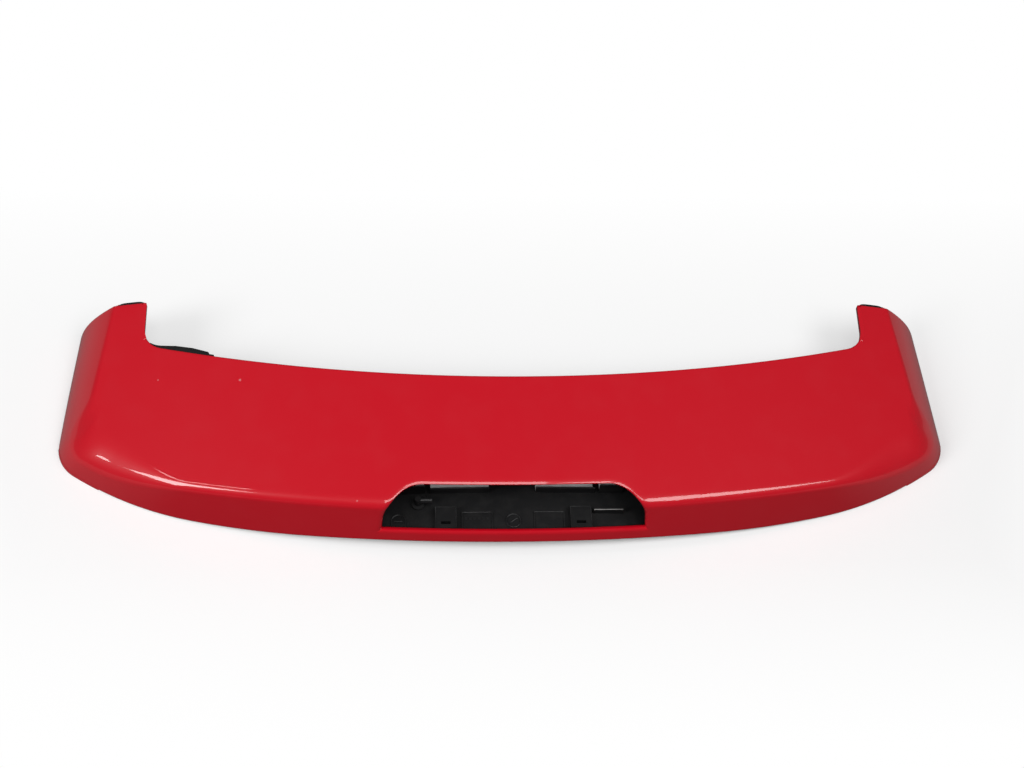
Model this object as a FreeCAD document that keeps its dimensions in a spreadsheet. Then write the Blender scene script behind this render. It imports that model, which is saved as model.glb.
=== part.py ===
"""Tailgate spoiler: painted outer skin, black lower carrier, bond beads, studs, seals and clips (millimetres).

Frame: +X to the right, +Y forward (away from the trailing edge), +Z up. The origin is the middle of the
overall box, on the surface that the side edges rest on.
"""
import FreeCAD, Part
import math
import os
from FreeCAD import Placement, Rotation, Vector

doc = FreeCAD.newDocument("tailgate_spoiler")
sheet = doc.addObject("Spreadsheet::Sheet", "dims")

DRIVING = (
    ("overall_width", 1180.0, "width across the lower side edges"),
    ("middle_radius", 1728.0, "plan radius of the middle of the trailing edge"),
    ("middle_sweep", 13.72, "half sweep of the middle arc, degrees"),
    ("shoulder_sweep", 19.65, "sweep of the shoulder arc, degrees"),
    ("side_radius", 4423.0, "plan radius of the side edge"),
    ("side_toe", 2.42, "how far the side edge turns inwards at the corner, degrees"),
    ("form_height", 130.0, "height at which the upper outline of the skirt is drawn"),
    ("rear_inset", 26.6, "how far the skirt leans in over the form height at the middle"),
    ("side_inset", 152.6, "how far the skirt leans in over the form height at the rear corner"),
    ("side_bulge", 22.9, "how far the side stands out at half the form height"),
    ("corner_radius", 53.3, "plan radius of the rear corner"),
    ("upper_corner_radius", 39.5, "corner radius of the upper outline"),
    ("upper_side_toe", -9.32, "side direction of the upper outline at the corner, degrees"),
    ("arch_rise", 26.2, "rise of the lower edge at the middle"),
    ("arch_end", 70.0, "from the overall width in to the end of the arch in the lower edge"),
    ("roof_height", 92.0, "height of the roof surface above the trailing edge"),
    ("roof_slope", 7.23, "rise of the roof towards the front, degrees"),
    ("crown_radius", 2711.0, "sideways crown of the roof"),
    ("front_depth", 197.8, "plan depth at the middle, to the front edge"),
    ("front_radius", 1678.0, "plan radius of the front edge"),
    ("horn_width", 112.5, "from the overall width in to a horn's inner edge"),
    ("notch_radius", 33.0, "corner radius between front edge and horn"),
    ("horn_depth", 328.5, "plan depth to the horn tips"),
    ("tip_step_height", 38.0, "height below which the horn tip slants back"),
    ("tip_slant", 4.0, "slant of the lower part of the horn tip, degrees"),
    ("ridge_round", 13.0, "fillet along the rear ridge"),
    ("corner_round", 42.0, "fillet where the ridge goes round the corner"),
    ("crease_round", 8.0, "fillet along the side crease at the horn tip"),
    ("skin_wall", 3.0, "wall of the outer skin"),
    ("lip_width", 14.0, "width of the lip that turns in along the lower edge"),
    ("lip_thickness", 2.5, "thickness of that lip"),
    ("return_depth", 10.0, "depth of the return flange under the front edge"),
    ("aperture_base", 334.6, "width of the lamp aperture at its lower edge"),
    ("aperture_top", 294.0, "width of the lamp aperture at its upper edge, before rounding"),
    ("aperture_height", 62.2, "slant height of the lamp aperture"),
    ("aperture_start", 44.7, "slant distance of the aperture's lower edge"),
    ("aperture_tilt", 52.0, "tilt of the aperture's plane, degrees"),
    ("aperture_corner", 36.0, "radius of the aperture's upper corners"),
    ("aperture_return", 9.0, "depth of the flange inside the aperture"),
    ("bond_gap", 1.4, "space between skin and carrier that the adhesive fills"),
    ("bond_clearance", 0.2, "gap between the adhesive and its two faces"),
    ("carrier_wall", 2.5, "wall of the lower carrier"),
    ("carrier_rim", 11.0, "height of the carrier's upturned rim"),
    ("carrier_setback", 91.0, "how far the carrier's front wall starts behind the front edge at the floor"),
    ("horn_setback", 36.0, "how far its walls in the horns start outside the horn's inner edge at the floor"),
    ("horn_clearance", 4.0, "gap between carrier and horn inner edge"),
    ("stud_spacing_across", 660.0, "stud pattern, across"),
    ("stud_spacing_along", 52.0, "stud pattern, along"),
    ("stud_row_depth", 66.0, "plan depth of the rear row of studs"),
    ("stud_radius", 3.0, "radius of the stud's shank"),
    ("stud_length", 22.0, "length of the shank below its seat"),
    ("stud_neck_radius", 5.0, "radius of the neck that passes through the seat"),
    ("stud_neck_drop", 0.5, "how far the neck reaches below the seat"),
    ("stud_head_radius", 9.0, "radius of the stud's head"),
    ("stud_head_height", 3.0, "height of the stud's head"),
    ("cup_radius", 18.0, "outer radius of the seat cups"),
    ("cup_height", 16.0, "height of the seat cups above the floor"),
    ("seal_radius", 15.0, "outer radius of the foam rings"),
    ("seal_bore", 10.5, "bore radius of the foam rings"),
    ("seal_thickness", 6.0, "thickness of the foam rings"),
    ("clip_inset", 46.0, "from the overall width in to the horn clips"),
    ("clip_depth", 258.0, "plan depth of the horn clips"),
    ("clip_radius", 4.0, "radius of the clip's stem"),
    ("clip_length", 17.0, "length of the clip's stem below its seat"),
    ("barb_radius", 6.4, "outer radius of the clip's barbs"),
    ("barb_height", 2.4, "height of the clip's barbs"),
    ("barb_start", 9.4, "from the clip's seat down to its first barb"),
    ("barb_pitch", 3.4, "distance between the clip's barbs"),
    ("hole_play", 0.3, "how much wider than a stud or clip its hole is, on the radius"),
    ("window_inner", 30.0, "inner edge of the carrier windows"),
    ("window_outer", 142.0, "outer edge of the carrier windows"),
    ("window_depth", 76.0, "plan depth of the windows' rear edge"),
    ("window_length", 46.0, "length of the windows"),
    ("window_rib", 8.0, "width of the rib across each window"),
    ("window_rib_offset", 109.0, "sideways place of that rib"),
    ("mark_height", 1.2, "height of the moulded frames on the lamp tray"),
    ("mark_line", 1.6, "line width of the moulded frames"),
    ("mark_offset", 46.0, "sideways place of the moulded frames"),
    ("mark_width", 40.0, "width of the moulded frames"),
    ("mark_length", 26.0, "length of the moulded frames"),
    ("mark_depth", 33.0, "plan depth of the moulded frames' middle"),
    ("ring_radius", 10.0, "radius of the moulded ring"),
    ("latch_offset", 86.0, "sideways place of the lamp latches"),
    ("latch_width", 27.0, "width of the lamp latches"),
    ("latch_length", 30.0, "length of the lamp latches"),
    ("latch_height", 9.0, "height of the lamp latches"),
    ("latch_slot_width", 12.0, "width of the slot in each latch"),
    ("latch_slot_length", 4.0, "length of the slot in each latch"),
    ("bar_offset", 122.0, "sideways place of the stop bar"),
    ("bar_length", 38.0, "length of the stop bar"),
    ("bar_width", 4.0, "width of the stop bar"),
    ("bar_height", 10.0, "height of the stop bar"),
    ("tip_seal_length", 36.0, "length of the horn tip seals"),
    ("tip_seal_height", 9.0, "height of the horn tip seals"),
    ("tip_seal_proud", 4.5, "how far the horn tip seals stand out"),
    ("edge_seal_length", 82.0, "length of the front edge seal"),
    ("edge_seal_inset", 163.0, "from the overall width in to the front edge seal's middle"),
    ("edge_seal_height", 9.0, "height of the front edge seal"),
    ("edge_seal_proud", 9.0, "how far the front edge seal stands out"),
    ("seal_drop", 1.2, "how far the seals lie below the roof surface"),
    ("elbow_offset", -121.0, "sideways place of the washer elbow"),
    ("elbow_depth", 58.0, "plan depth of the washer elbow"),
    ("elbow_radius", 4.0, "outer radius of the washer elbow"),
    ("elbow_bore", 2.0, "bore radius of the washer elbow"),
    ("elbow_height", 20.0, "height of the elbow's upright leg"),
    ("elbow_reach", 18.0, "length of the elbow's flat leg"),
    ("elbow_play", 1.0, "how much wider than the elbow its hole is, on the radius"),
    ("grommet_radius", 8.0, "outer radius of the washer grommet"),
    ("grommet_height", 3.0, "height of the washer grommet above the floor"),
    ("grommet_clearance", 0.5, "gap under the grommet on the curved floor"),
)
for row, (alias, value, meaning) in enumerate(DRIVING, start=1):
    sheet.set(f"A{row}", meaning)
    sheet.set(f"B{row}", str(value))
    sheet.setAlias(f"B{row}", alias)
doc.recompute()


def dim(alias):
    """The value of one cell of the sheet."""
    return float(sheet.get(alias))


# Places that follow from the driving dimensions
lean = dim("rear_inset") / dim("form_height")
rear_reach = dim("arch_rise") * lean
front_reach = dim("horn_depth") + dim("tip_seal_proud")
SHIFT = -(rear_reach + front_reach) / 2
HALF_WIDTH = dim("overall_width") / 2
HORN_EDGE = HALF_WIDTH - dim("horn_width")
ARCH_REACH = HALF_WIDTH - dim("arch_end")
EDGE_SEAL_PLACE = dim("edge_seal_inset") - HALF_WIDTH
MARGIN = 60.0
OVERRUN = 240.0


def plan(x, y, z=0.0):
    """A point given by its plan depth from the drawn trailing edge, in the part's frame."""
    return Vector(x, y + SHIFT, z)


def feature(name, shape):
    """A construction form whose shape follows the sheet."""
    obj = doc.addObject("Part::Feature", name)
    obj.Shape = shape
    return obj


def boolean(kind, name, base, tool):
    obj = doc.addObject(kind, name)
    obj.Base = base
    obj.Tool = tool
    doc.recompute()
    return obj


def cut(name, base, *tools):
    for index, tool in enumerate(tools):
        base = boolean("Part::Cut", f"{name}_cut{index}", base, tool)
    return base


def common(name, base, tool):
    return boolean("Part::Common", name, base, tool)


def fuse(name, pieces):
    obj = doc.addObject("Part::MultiFuse", name)
    obj.Shapes = pieces
    doc.recompute()
    return obj


def arc_chain(start_depth, radii, headings):
    """Tangent arcs from the middle of the trailing edge round to the horn, as (centre, radius, from, to)."""
    point = Vector(0, start_depth, 0)
    arcs = []
    for radius, begin, end in zip(radii, headings[:-1], headings[1:]):
        centre = point + Vector(-math.sin(begin), math.cos(begin), 0) * radius
        arcs.append((centre, radius, begin, end))
        point = centre + Vector(math.sin(end), -math.cos(end), 0) * radius
    return arcs


def arc_edge(arc, height, side):
    """One arc of the chain as an edge at a height, on the right (1) or the left (-1)."""
    centre, radius, begin, end = arc
    points = []
    for heading in (begin, (begin + end) / 2, end):
        x = centre.x + radius * math.sin(heading)
        y = centre.y - radius * math.cos(heading)
        points.append(plan(side * x, y, height))
    if side < 0:
        points.reverse()
    return Part.Arc(*points).toShape()


def outline(share, inset):
    """Closed plan outline of the skirt at a share of the form height, set in by a plan distance."""
    toe = math.radians(dim("side_toe") + (dim("upper_side_toe") - dim("side_toe")) * share)
    begin = math.radians(dim("middle_sweep"))
    shoulder = begin + math.radians(dim("shoulder_sweep"))
    corner = math.pi / 2 + toe
    side = corner + OVERRUN / dim("side_radius")
    lean_in = dim("rear_inset") * share
    bulge = dim("side_bulge") * 4 * share * (1 - share)
    half_width = dim("overall_width") / 2 - dim("side_inset") * share + bulge
    corner_radius = dim("corner_radius") + (dim("upper_corner_radius") - dim("corner_radius")) * share
    middle_reach = (dim("middle_radius") - lean_in) * math.sin(begin)
    corner_reach = corner_radius * (math.sin(min(corner, math.pi / 2)) - math.sin(shoulder))
    shoulder_radius = (half_width - middle_reach - corner_reach) / (math.sin(shoulder) - math.sin(begin))
    radii = [dim("middle_radius") - lean_in, shoulder_radius, corner_radius, dim("side_radius")]
    arcs = arc_chain(lean_in + inset, [radius - inset for radius in radii], [0.0, begin, shoulder, corner, side])
    height = dim("form_height") * share
    right = [arc_edge(arc, height, 1) for arc in arcs[1:]]
    left = [arc_edge(arc, height, -1) for arc in reversed(arcs[1:])]
    centre, radius, _, end = arcs[0]
    reach = radius * math.sin(end)
    depth = centre.y - radius * math.cos(end)
    middle = Part.Arc(plan(-reach, depth, height), plan(0, centre.y - radius, height), plan(reach, depth, height))
    edges = left + [middle.toShape()] + right
    closing = Part.makeLine(edges[-1].lastVertex().Point, edges[0].firstVertex().Point)
    return Part.Wire(edges + [closing])


def skirt(name, inset):
    """Solid inside the leaning skirt, set in by a plan distance."""
    return feature(name, Part.makeLoft([outline(share, inset) for share in (0.0, 0.5, 1.0)], True, False))


def crown(name, drop):
    """Solid below the crowned roof, lowered by a distance."""
    obj = doc.addObject("Part::Cylinder", name)
    slope = math.radians(dim("roof_slope"))
    obj.setExpression("Radius", f"dims.crown_radius - {drop}")
    obj.setExpression("Height", "dims.horn_depth * 3")
    top = plan(0, 0, dim("roof_height"))
    along = Vector(0, math.cos(slope), math.sin(slope))
    up = Vector(0, -math.sin(slope), math.cos(slope))
    turn = Rotation(Vector(-1, 0, 0).cross(along) * -1, Vector(0, 0, 0), along, "ZXY")
    obj.Placement = Placement(top - up * dim("crown_radius") - along * dim("horn_depth"), turn)
    doc.recompute()
    return obj


def arch(name, lift):
    """Everything below the arched lower edge, raised by a distance: two tangent arcs each side of the middle."""
    half = ARCH_REACH / 2
    rise = dim("arch_rise")
    bend = half**2 / rise + rise / 4
    turn = math.asin(half / bend)
    lower = bend - lift
    upper = bend + lift
    reach = ARCH_REACH
    far = dim("overall_width")

    def crest(angle):
        return Vector(upper * math.sin(angle), 0, rise - bend + upper * math.cos(angle))

    def trough(angle):
        return Vector(reach - lower * math.sin(angle), 0, bend - lower * math.cos(angle))

    def mirror(point):
        return Vector(-point.x, 0, point.z)

    right = [trough(turn), trough(turn / 2), trough(0)]
    edges = [
        Part.makeLine(Vector(-far, 0, lift), mirror(right[2])),
        Part.Arc(mirror(right[2]), mirror(right[1]), mirror(right[0])).toShape(),
        Part.Arc(crest(-turn), crest(0), crest(turn)).toShape(),
        Part.Arc(*right).toShape(),
        Part.makeLine(right[2], Vector(far, 0, lift)),
        Part.makeLine(Vector(far, 0, lift), Vector(far, 0, -MARGIN)),
        Part.makeLine(Vector(far, 0, -MARGIN), Vector(-far, 0, -MARGIN)),
        Part.makeLine(Vector(-far, 0, -MARGIN), Vector(-far, 0, lift)),
    ]
    face = Part.Face(Part.Wire(edges))
    face.translate(plan(0, -MARGIN * 2))
    return feature(name, face.extrude(Vector(0, dim("horn_depth") + MARGIN * 4, 0)))


def notch_wire(grow, setback, height):
    """Plan outline of the space between the horns, grown by a distance and set back at the middle."""
    radius = dim("front_radius") + grow
    centre = dim("front_depth") - setback + dim("front_radius")
    edge = HORN_EDGE + grow + setback * dim("horn_setback") / dim("carrier_setback")
    bend = dim("notch_radius") + grow
    fillet_x = edge - bend
    fillet_y = centre - math.sqrt((radius - bend) ** 2 - fillet_x**2)
    away = math.atan2(fillet_y - centre, fillet_x)
    meet = (radius * math.cos(away), centre + radius * math.sin(away))
    half_way = away / 2
    mid = (fillet_x + bend * math.cos(half_way), fillet_y + bend * math.sin(half_way))
    far = dim("horn_depth") + MARGIN * 2
    points = [(edge, far), (edge, fillet_y), mid, meet]
    right = [plan(x, y, height) for x, y in points]
    left = [plan(-x, y, height) for x, y in points]
    edges = [
        Part.makeLine(left[0], left[1]),
        Part.Arc(left[1], left[2], left[3]).toShape(),
        Part.Arc(left[3], plan(0, centre - radius, height), right[3]).toShape(),
        Part.Arc(right[3], right[2], right[1]).toShape(),
        Part.makeLine(right[1], right[0]),
        Part.makeLine(right[0], left[0]),
    ]
    return Part.Wire(edges)


def notch(name, grow):
    """Upright solid of the space between the horns."""
    face = Part.Face(notch_wire(grow, 0.0, -MARGIN))
    return feature(name, face.extrude(Vector(0, 0, dim("form_height") + MARGIN * 2)))


def leaning_notch(name, grow):
    """Space in front of the carrier's leaning front wall."""
    floor = dim("arch_rise")
    roof = dim("roof_height") + dim("front_depth") * math.tan(math.radians(dim("roof_slope")))
    setback = dim("carrier_setback")
    per_height = setback / (roof - floor)
    foot = notch_wire(grow, setback + floor * per_height, 0.0)
    head_height = dim("form_height") + MARGIN
    head = notch_wire(grow, setback - (head_height - floor) * per_height, head_height)
    return feature(name, Part.makeLoft([foot, head], True, True))


def tip_trim(name, inset):
    """Everything ahead of the horn tips, whose lower part slants back."""
    step = dim("tip_step_height")
    depth = dim("horn_depth") - inset
    foot = depth - (step + MARGIN) * math.tan(math.radians(dim("tip_slant")))
    far = dim("horn_depth") + MARGIN * 3
    top = dim("form_height") + MARGIN
    corners = [(foot, -MARGIN), (depth, step), (depth, top), (far, top), (far, -MARGIN)]
    points = [plan(-dim("overall_width"), y, z) for y, z in corners]
    face = Part.Face(Part.makePolygon(points + points[:1]))
    return feature(name, face.extrude(Vector(2 * dim("overall_width"), 0, 0)))


def round_ridge(name, base, shrink):
    """Rounds the ridge: small along the rear and the horn tip, large where it goes round the corner."""
    doc.recompute()
    ridge = max(dim("ridge_round") - shrink, 1.0)
    corner = max(dim("corner_round") - shrink, 1.0)
    crease = max(dim("crease_round") - shrink, 1.0)
    edges = []
    for index, edge in enumerate(base.Shape.Edges, start=1):
        faces = base.Shape.ancestorsOfType(edge, Part.Face)
        kinds = {type(face.Surface).__name__ for face in faces}
        middle = edge.CenterOfMass
        if "Cylinder" not in kinds or middle.z < dim("tip_step_height"):
            continue
        crowned = [face for face in faces if abs(getattr(face.Surface, "Radius", 0) - dim("crown_radius")) < MARGIN]
        if len(crowned) != 1 or middle.y > dim("horn_depth") + SHIFT:
            continue
        first, last = (edge.valueAt(edge.FirstParameter), edge.valueAt(edge.LastParameter))

        def size(point):
            x = abs(point.x)
            if x < dim("middle_radius") * math.sin(math.radians(dim("middle_sweep"))) * 1.02:
                return ridge
            if point.y > dim("horn_depth") + SHIFT - MARGIN / 2:
                return crease
            return corner

        edges.append((index, size(first), size(last)))
    obj = doc.addObject("Part::Fillet", name)
    obj.Base = base
    obj.Edges = edges
    doc.recompute()
    return obj


def slanted(y, z):
    """Plan depth and height of a point of the aperture's plane, from along and out of that plane."""
    tilt = math.radians(dim("aperture_tilt"))
    return y * math.cos(tilt) - z * math.sin(tilt), y * math.sin(tilt) + z * math.cos(tilt)


def aperture(name, grow):
    """Prism through the lamp aperture: a trapezium with rounded upper corners."""
    start = dim("aperture_start") - grow
    end = dim("aperture_start") + dim("aperture_height") + grow
    base = dim("aperture_base") / 2 + grow
    top = dim("aperture_top") / 2 + grow
    bend = dim("aperture_corner") + grow
    side = Vector(top - base, end - start, 0).normalize()
    turn = math.acos(side.x) / 2
    reach = bend / math.tan(turn)
    corner = Vector(top, end, 0)
    on_side = corner - side * reach
    on_top = corner - Vector(reach, 0, 0)
    inward = (Vector(-1, 0, 0) - side).normalize()
    mid = corner + inward * (bend / math.sin(turn) - bend)
    depth = dim("form_height")

    def place(point, flip=1):
        y, z = slanted(point.y, -depth)
        return plan(flip * point.x, y, z)

    foot = Vector(base, start, 0)
    edges = [
        Part.makeLine(place(foot, -1), place(foot)),
        Part.makeLine(place(foot), place(on_side)),
        Part.Arc(place(on_side), place(mid), place(on_top)).toShape(),
        Part.makeLine(place(on_top), place(on_top, -1)),
        Part.Arc(place(on_top, -1), place(mid, -1), place(on_side, -1)).toShape(),
        Part.makeLine(place(on_side, -1), place(foot, -1)),
    ]
    y, z = slanted(0, 2 * depth)
    return feature(name, Part.Face(Part.Wire(edges)).extrude(Vector(0, y, z)))


def block(name, x, y, z, size_x, size_y, size_z):
    """Box centred in plan on x and y, standing on z; each size is an expression on the sheet."""
    obj = doc.addObject("Part::Box", name)
    obj.setExpression("Length", size_x)
    obj.setExpression("Width", size_y)
    obj.setExpression("Height", size_z)
    doc.recompute()
    obj.Placement.Base = plan(x - obj.Length.Value / 2, y - obj.Width.Value / 2, z)
    return obj


def rod(name, x, y, z, radius, height):
    """Upright cylinder from z; radius and height are expressions on the sheet."""
    obj = doc.addObject("Part::Cylinder", name)
    obj.setExpression("Radius", radius)
    obj.setExpression("Height", height)
    obj.Placement.Base = plan(x, y, z)
    doc.recompute()
    return obj


def arch_height(x):
    """Height of the lower edge at a sideways place."""
    half = ARCH_REACH / 2
    rise = dim("arch_rise")
    bend = half**2 / rise + rise / 4
    x = min(abs(x), ARCH_REACH)
    if x < half:
        return rise - bend + math.sqrt(bend**2 - x**2)
    return bend - math.sqrt(bend**2 - (ARCH_REACH - x) ** 2)


# Outer skin
wall = dim("skin_wall")
skin_arch = arch("skin_arch", 0.0)
skin_notch = notch("skin_notch", 0.0)
skin_tip = tip_trim("skin_tip", 0.0)
outer_form = common("outer_form", skirt("outer_skirt", 0.0), crown("outer_crown", 0.0))
outer_round = round_ridge("outer_round", outer_form, 0.0)
skin_block = cut("skin_block", outer_round, skin_arch, skin_notch, skin_tip)

inner_form = common("inner_form", skirt("inner_skirt", wall), crown("inner_crown", wall))
inner_round = round_ridge("inner_round", inner_form, wall)
front_edge = fuse("front_edge", [notch("return_notch", wall), tip_trim("return_tip", wall)])
front_return = cut("front_return", front_edge, crown("return_crown", wall + dim("return_depth")))
lip_arch = arch("lip_arch", dim("lip_thickness"))
cavity = cut("cavity", inner_round, lip_arch, front_return)
lip_opening = skirt("lip_opening", dim("lip_width"))
lip_pass = common("lip_pass", lip_opening, arch("lip_pass_arch", dim("lip_thickness") * 2))

lamp_hole = aperture("lamp_hole", 0.0)
lamp_ring = common("lamp_ring", aperture("lamp_ring_form", wall), outer_round)
deep_form = feature("deep_form", outer_round.Shape.copy())
sink_y, sink_z = slanted(0, -dim("aperture_return"))
deep_form.Placement.Base = Vector(0, sink_y, sink_z)
lamp_flange = cut("lamp_flange", lamp_ring, deep_form, skin_arch)
skin_shell = cut("skin_shell", skin_block, cavity, lip_pass)
outer_skin = cut("outer_skin", fuse("skin_flanged", [skin_shell, lamp_flange]), lamp_hole)

# Lower carrier
bond = dim("bond_gap")
carrier_wall = dim("carrier_wall")
seat = dim("lip_thickness") + bond
floor_top = seat + carrier_wall
carrier_inset = wall + 2 * bond
carrier_arch = arch("carrier_arch", seat)
carrier_tip = tip_trim("carrier_tip", wall + dim("horn_clearance"))
carrier_gap = leaning_notch("carrier_gap", wall + dim("horn_clearance"))
carrier_skirt = skirt("carrier_skirt", carrier_inset)
carrier_form = common("carrier_form", carrier_skirt, crown("carrier_crown", wall + bond))
carrier_space = cut("carrier_space", carrier_form, carrier_arch, carrier_gap, carrier_tip)
floor_arch = arch("floor_arch", floor_top)
floor_plate = common("floor_plate", carrier_space, floor_arch)
wall_gap = leaning_notch("wall_gap", wall + dim("horn_clearance") + carrier_wall)
front_wall = common("front_wall", carrier_space, wall_gap)
rim_arch = arch("rim_arch", seat + dim("carrier_rim"))
rim_form = common("rim_form", carrier_space, rim_arch)
carrier_rim = cut("carrier_rim_wall", rim_form, skirt("rim_inner", carrier_inset + carrier_wall))

stud_places = []
for row in (0, 1):
    for side in (-1, 1):
        x = side * dim("stud_spacing_across") / 2
        y = dim("stud_row_depth") + row * dim("stud_spacing_along")
        stud_places.append((x, y, arch_height(x) + floor_top + dim("cup_height")))
clip_places = []
for side in (-1, 1):
    x = side * (HALF_WIDTH - dim("clip_inset"))
    clip_places.append((x, dim("clip_depth"), arch_height(x) + floor_top + dim("cup_height")))

solids = [floor_plate, front_wall, carrier_rim]
hollows = []
for number, (x, y, top) in enumerate(stud_places + clip_places, start=1):
    shank = "dims.stud_neck_radius" if number <= len(stud_places) else "dims.clip_radius"
    solids.append(rod(f"cup_{number}", x, y, top - dim("cup_height") - carrier_wall / 2, "dims.cup_radius",
                      "dims.cup_height + dims.carrier_wall / 2"))
    hollows.append(rod(f"cup_hollow_{number}", x, y, -MARGIN, "dims.cup_radius - dims.carrier_wall",
                       f"{top + MARGIN} - dims.carrier_wall"))
    hollows.append(rod(f"cup_hole_{number}", x, y, -MARGIN, f"{shank} + dims.hole_play", f"{top + 2 * MARGIN}"))

tray = dim("arch_rise") + floor_top
latch_depth = dim("mark_depth") - dim("mark_length") / 2 + dim("latch_length") / 2
for side in (-1, 1):
    label = "left" if side < 0 else "right"
    x = side * dim("mark_offset")
    sink = carrier_wall / 2
    foot = arch_height(x) + floor_top - sink
    frame = block(f"mark_{label}", x, dim("mark_depth"), foot, "dims.mark_width", "dims.mark_length",
                  "dims.mark_height + dims.carrier_wall / 2")
    inside = block(f"mark_inside_{label}", x, dim("mark_depth"), foot, "dims.mark_width - 2 * dims.mark_line",
                   "dims.mark_length - 2 * dims.mark_line", "dims.mark_height + dims.carrier_wall")
    solids.append(cut(f"mark_frame_{label}", frame, inside))
    x = side * dim("latch_offset")
    foot = arch_height(x) + floor_top - sink
    latch = block(f"latch_{label}", x, latch_depth, foot, "dims.latch_width", "dims.latch_length",
                  "dims.latch_height + dims.carrier_wall / 2")
    slot = block(f"latch_slot_{label}", x, latch_depth - dim("latch_length") / 4, foot + carrier_wall,
                 "dims.latch_slot_width", "dims.latch_slot_length", "dims.latch_height")
    solids.append(cut(f"latch_body_{label}", latch, slot))
    x = side * (dim("window_inner") + dim("window_outer")) / 2
    window = block(f"window_{label}", x, dim("window_depth") + dim("window_length") / 2, 0.0,
                   "dims.window_outer - dims.window_inner", "dims.window_length", "dims.roof_height / 2 + dims.arch_rise")
    rib = block(f"window_rib_{label}", side * dim("window_rib_offset"), dim("window_depth") + dim("window_length") / 2,
                0.0, "dims.window_rib", "dims.window_length * 1.5", "dims.roof_height")
    hollows.append(cut(f"window_open_{label}", window, rib))
ring_foot = tray - carrier_wall / 2
ring_outer = rod("ring_outer", 0, dim("mark_depth"), ring_foot, "dims.ring_radius",
                 "dims.mark_height + dims.carrier_wall / 2")
ring_inner = rod("ring_inner", 0, dim("mark_depth"), ring_foot, "dims.ring_radius - dims.mark_line",
                 "dims.mark_height + dims.carrier_wall")
solids.append(cut("mark_ring", ring_outer, ring_inner))
bar_depth = dim("mark_depth") + dim("mark_length") / 2
bar_foot = arch_height(dim("bar_offset")) + floor_top - carrier_wall / 2
solids.append(block("stop_bar", dim("bar_offset"), bar_depth, bar_foot, "dims.bar_length", "dims.bar_width",
                    "dims.bar_height + dims.carrier_wall / 2"))
elbow_floor = arch_height(dim("elbow_offset")) + floor_top
hollows.append(rod("elbow_hole", dim("elbow_offset"), dim("elbow_depth"), 0.0, "dims.elbow_radius + dims.elbow_play",
                   "dims.roof_height"))
carrier_solid = fuse("carrier_solid", solids)
lower_carrier = cut("lower_carrier", carrier_solid, *hollows)

# Bond beads between skin and carrier
play = dim("bond_clearance")
bead_skirt = skirt("bead_skirt", carrier_inset)
bead_top = arch("bead_top", seat - play)
bead_foot = arch("bead_foot", dim("lip_thickness") + play)
bead_layer = cut("bead_layer", common("bead_slab", bead_skirt, bead_top), bead_foot, carrier_tip, carrier_gap)
bond_bead_rear = cut("bond_bead_rear", bead_layer, skirt("bead_inner", dim("lip_width") - bond))
front_layer = cut("front_layer", common("front_slab", skirt("front_skirt", carrier_inset + carrier_wall),
                                        crown("bead_crown", wall + play)), crown("bead_crown_low", wall + bond - play))
bond_bead_front = cut("bond_bead_front", common("front_strip", front_layer, wall_gap), carrier_gap, carrier_tip)

# Studs, foam rings and clips
nodes = {"outer_skin": outer_skin, "lower_carrier": lower_carrier,
         "bond_bead_rear": bond_bead_rear, "bond_bead_front": bond_bead_front}
stud_solids = []
for number, (x, y, top) in enumerate(stud_places, start=1):
    shank = rod(f"stud_shank_{number}", x, y, top - carrier_wall - dim("stud_length"), "dims.stud_radius",
                "dims.stud_length + dims.carrier_wall / 2")
    neck = rod(f"stud_neck_{number}", x, y, top - carrier_wall - dim("stud_neck_drop"), "dims.stud_neck_radius",
               "dims.stud_neck_drop + dims.carrier_wall + dims.stud_head_height / 2")
    head = rod(f"stud_head_{number}", x, y, top, "dims.stud_head_radius", "dims.stud_head_height")
    stud_solids.append(fuse(f"stud_{number}", [shank, neck, head]))
    ring = rod(f"seal_ring_{number}", x, y, top - carrier_wall - dim("seal_thickness"), "dims.seal_radius",
               "dims.seal_thickness")
    bore = rod(f"seal_bore_{number}", x, y, 0.0, "dims.seal_bore", "dims.roof_height")
    nodes[f"stud_seal_{number}"] = cut(f"stud_seal_{number}", ring, bore)
studs = doc.addObject("Part::Compound", "mounting_studs")
studs.Links = stud_solids
nodes["mounting_studs"] = studs
for (x, y, top), label in zip(clip_places, ("left", "right")):
    stem = rod(f"clip_stem_{label}", x, y, top - carrier_wall - dim("clip_length"), "dims.clip_radius",
               "dims.clip_length + dims.carrier_wall + dims.stud_head_height / 2")
    head = rod(f"clip_head_{label}", x, y, top, "dims.stud_head_radius", "dims.stud_head_height")
    barbs = []
    for step in range(3):
        barb = doc.addObject("Part::Cone", f"clip_barb_{label}_{step}")
        barb.setExpression("Radius1", "dims.clip_radius")
        barb.setExpression("Radius2", "dims.barb_radius")
        barb.setExpression("Height", "dims.barb_height")
        depth = carrier_wall + dim("barb_start") + dim("barb_pitch") * step
        barb.Placement.Base = plan(x, y, top - depth)
        barbs.append(barb)
    nodes[f"horn_clip_{label}"] = fuse(f"horn_clip_{label}", [stem, head] + barbs)

# Seals on the front faces of the horn tips and of the front edge
def seal_under_roof(name, strip, height):
    """The part of a strip that lies just below the roof surface, over a height."""
    top = crown(f"{name}_top", dim("seal_drop"))
    foot = crown(f"{name}_foot", dim("seal_drop") + height)
    return cut(name, common(f"{name}_under", strip, top), foot)


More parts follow.
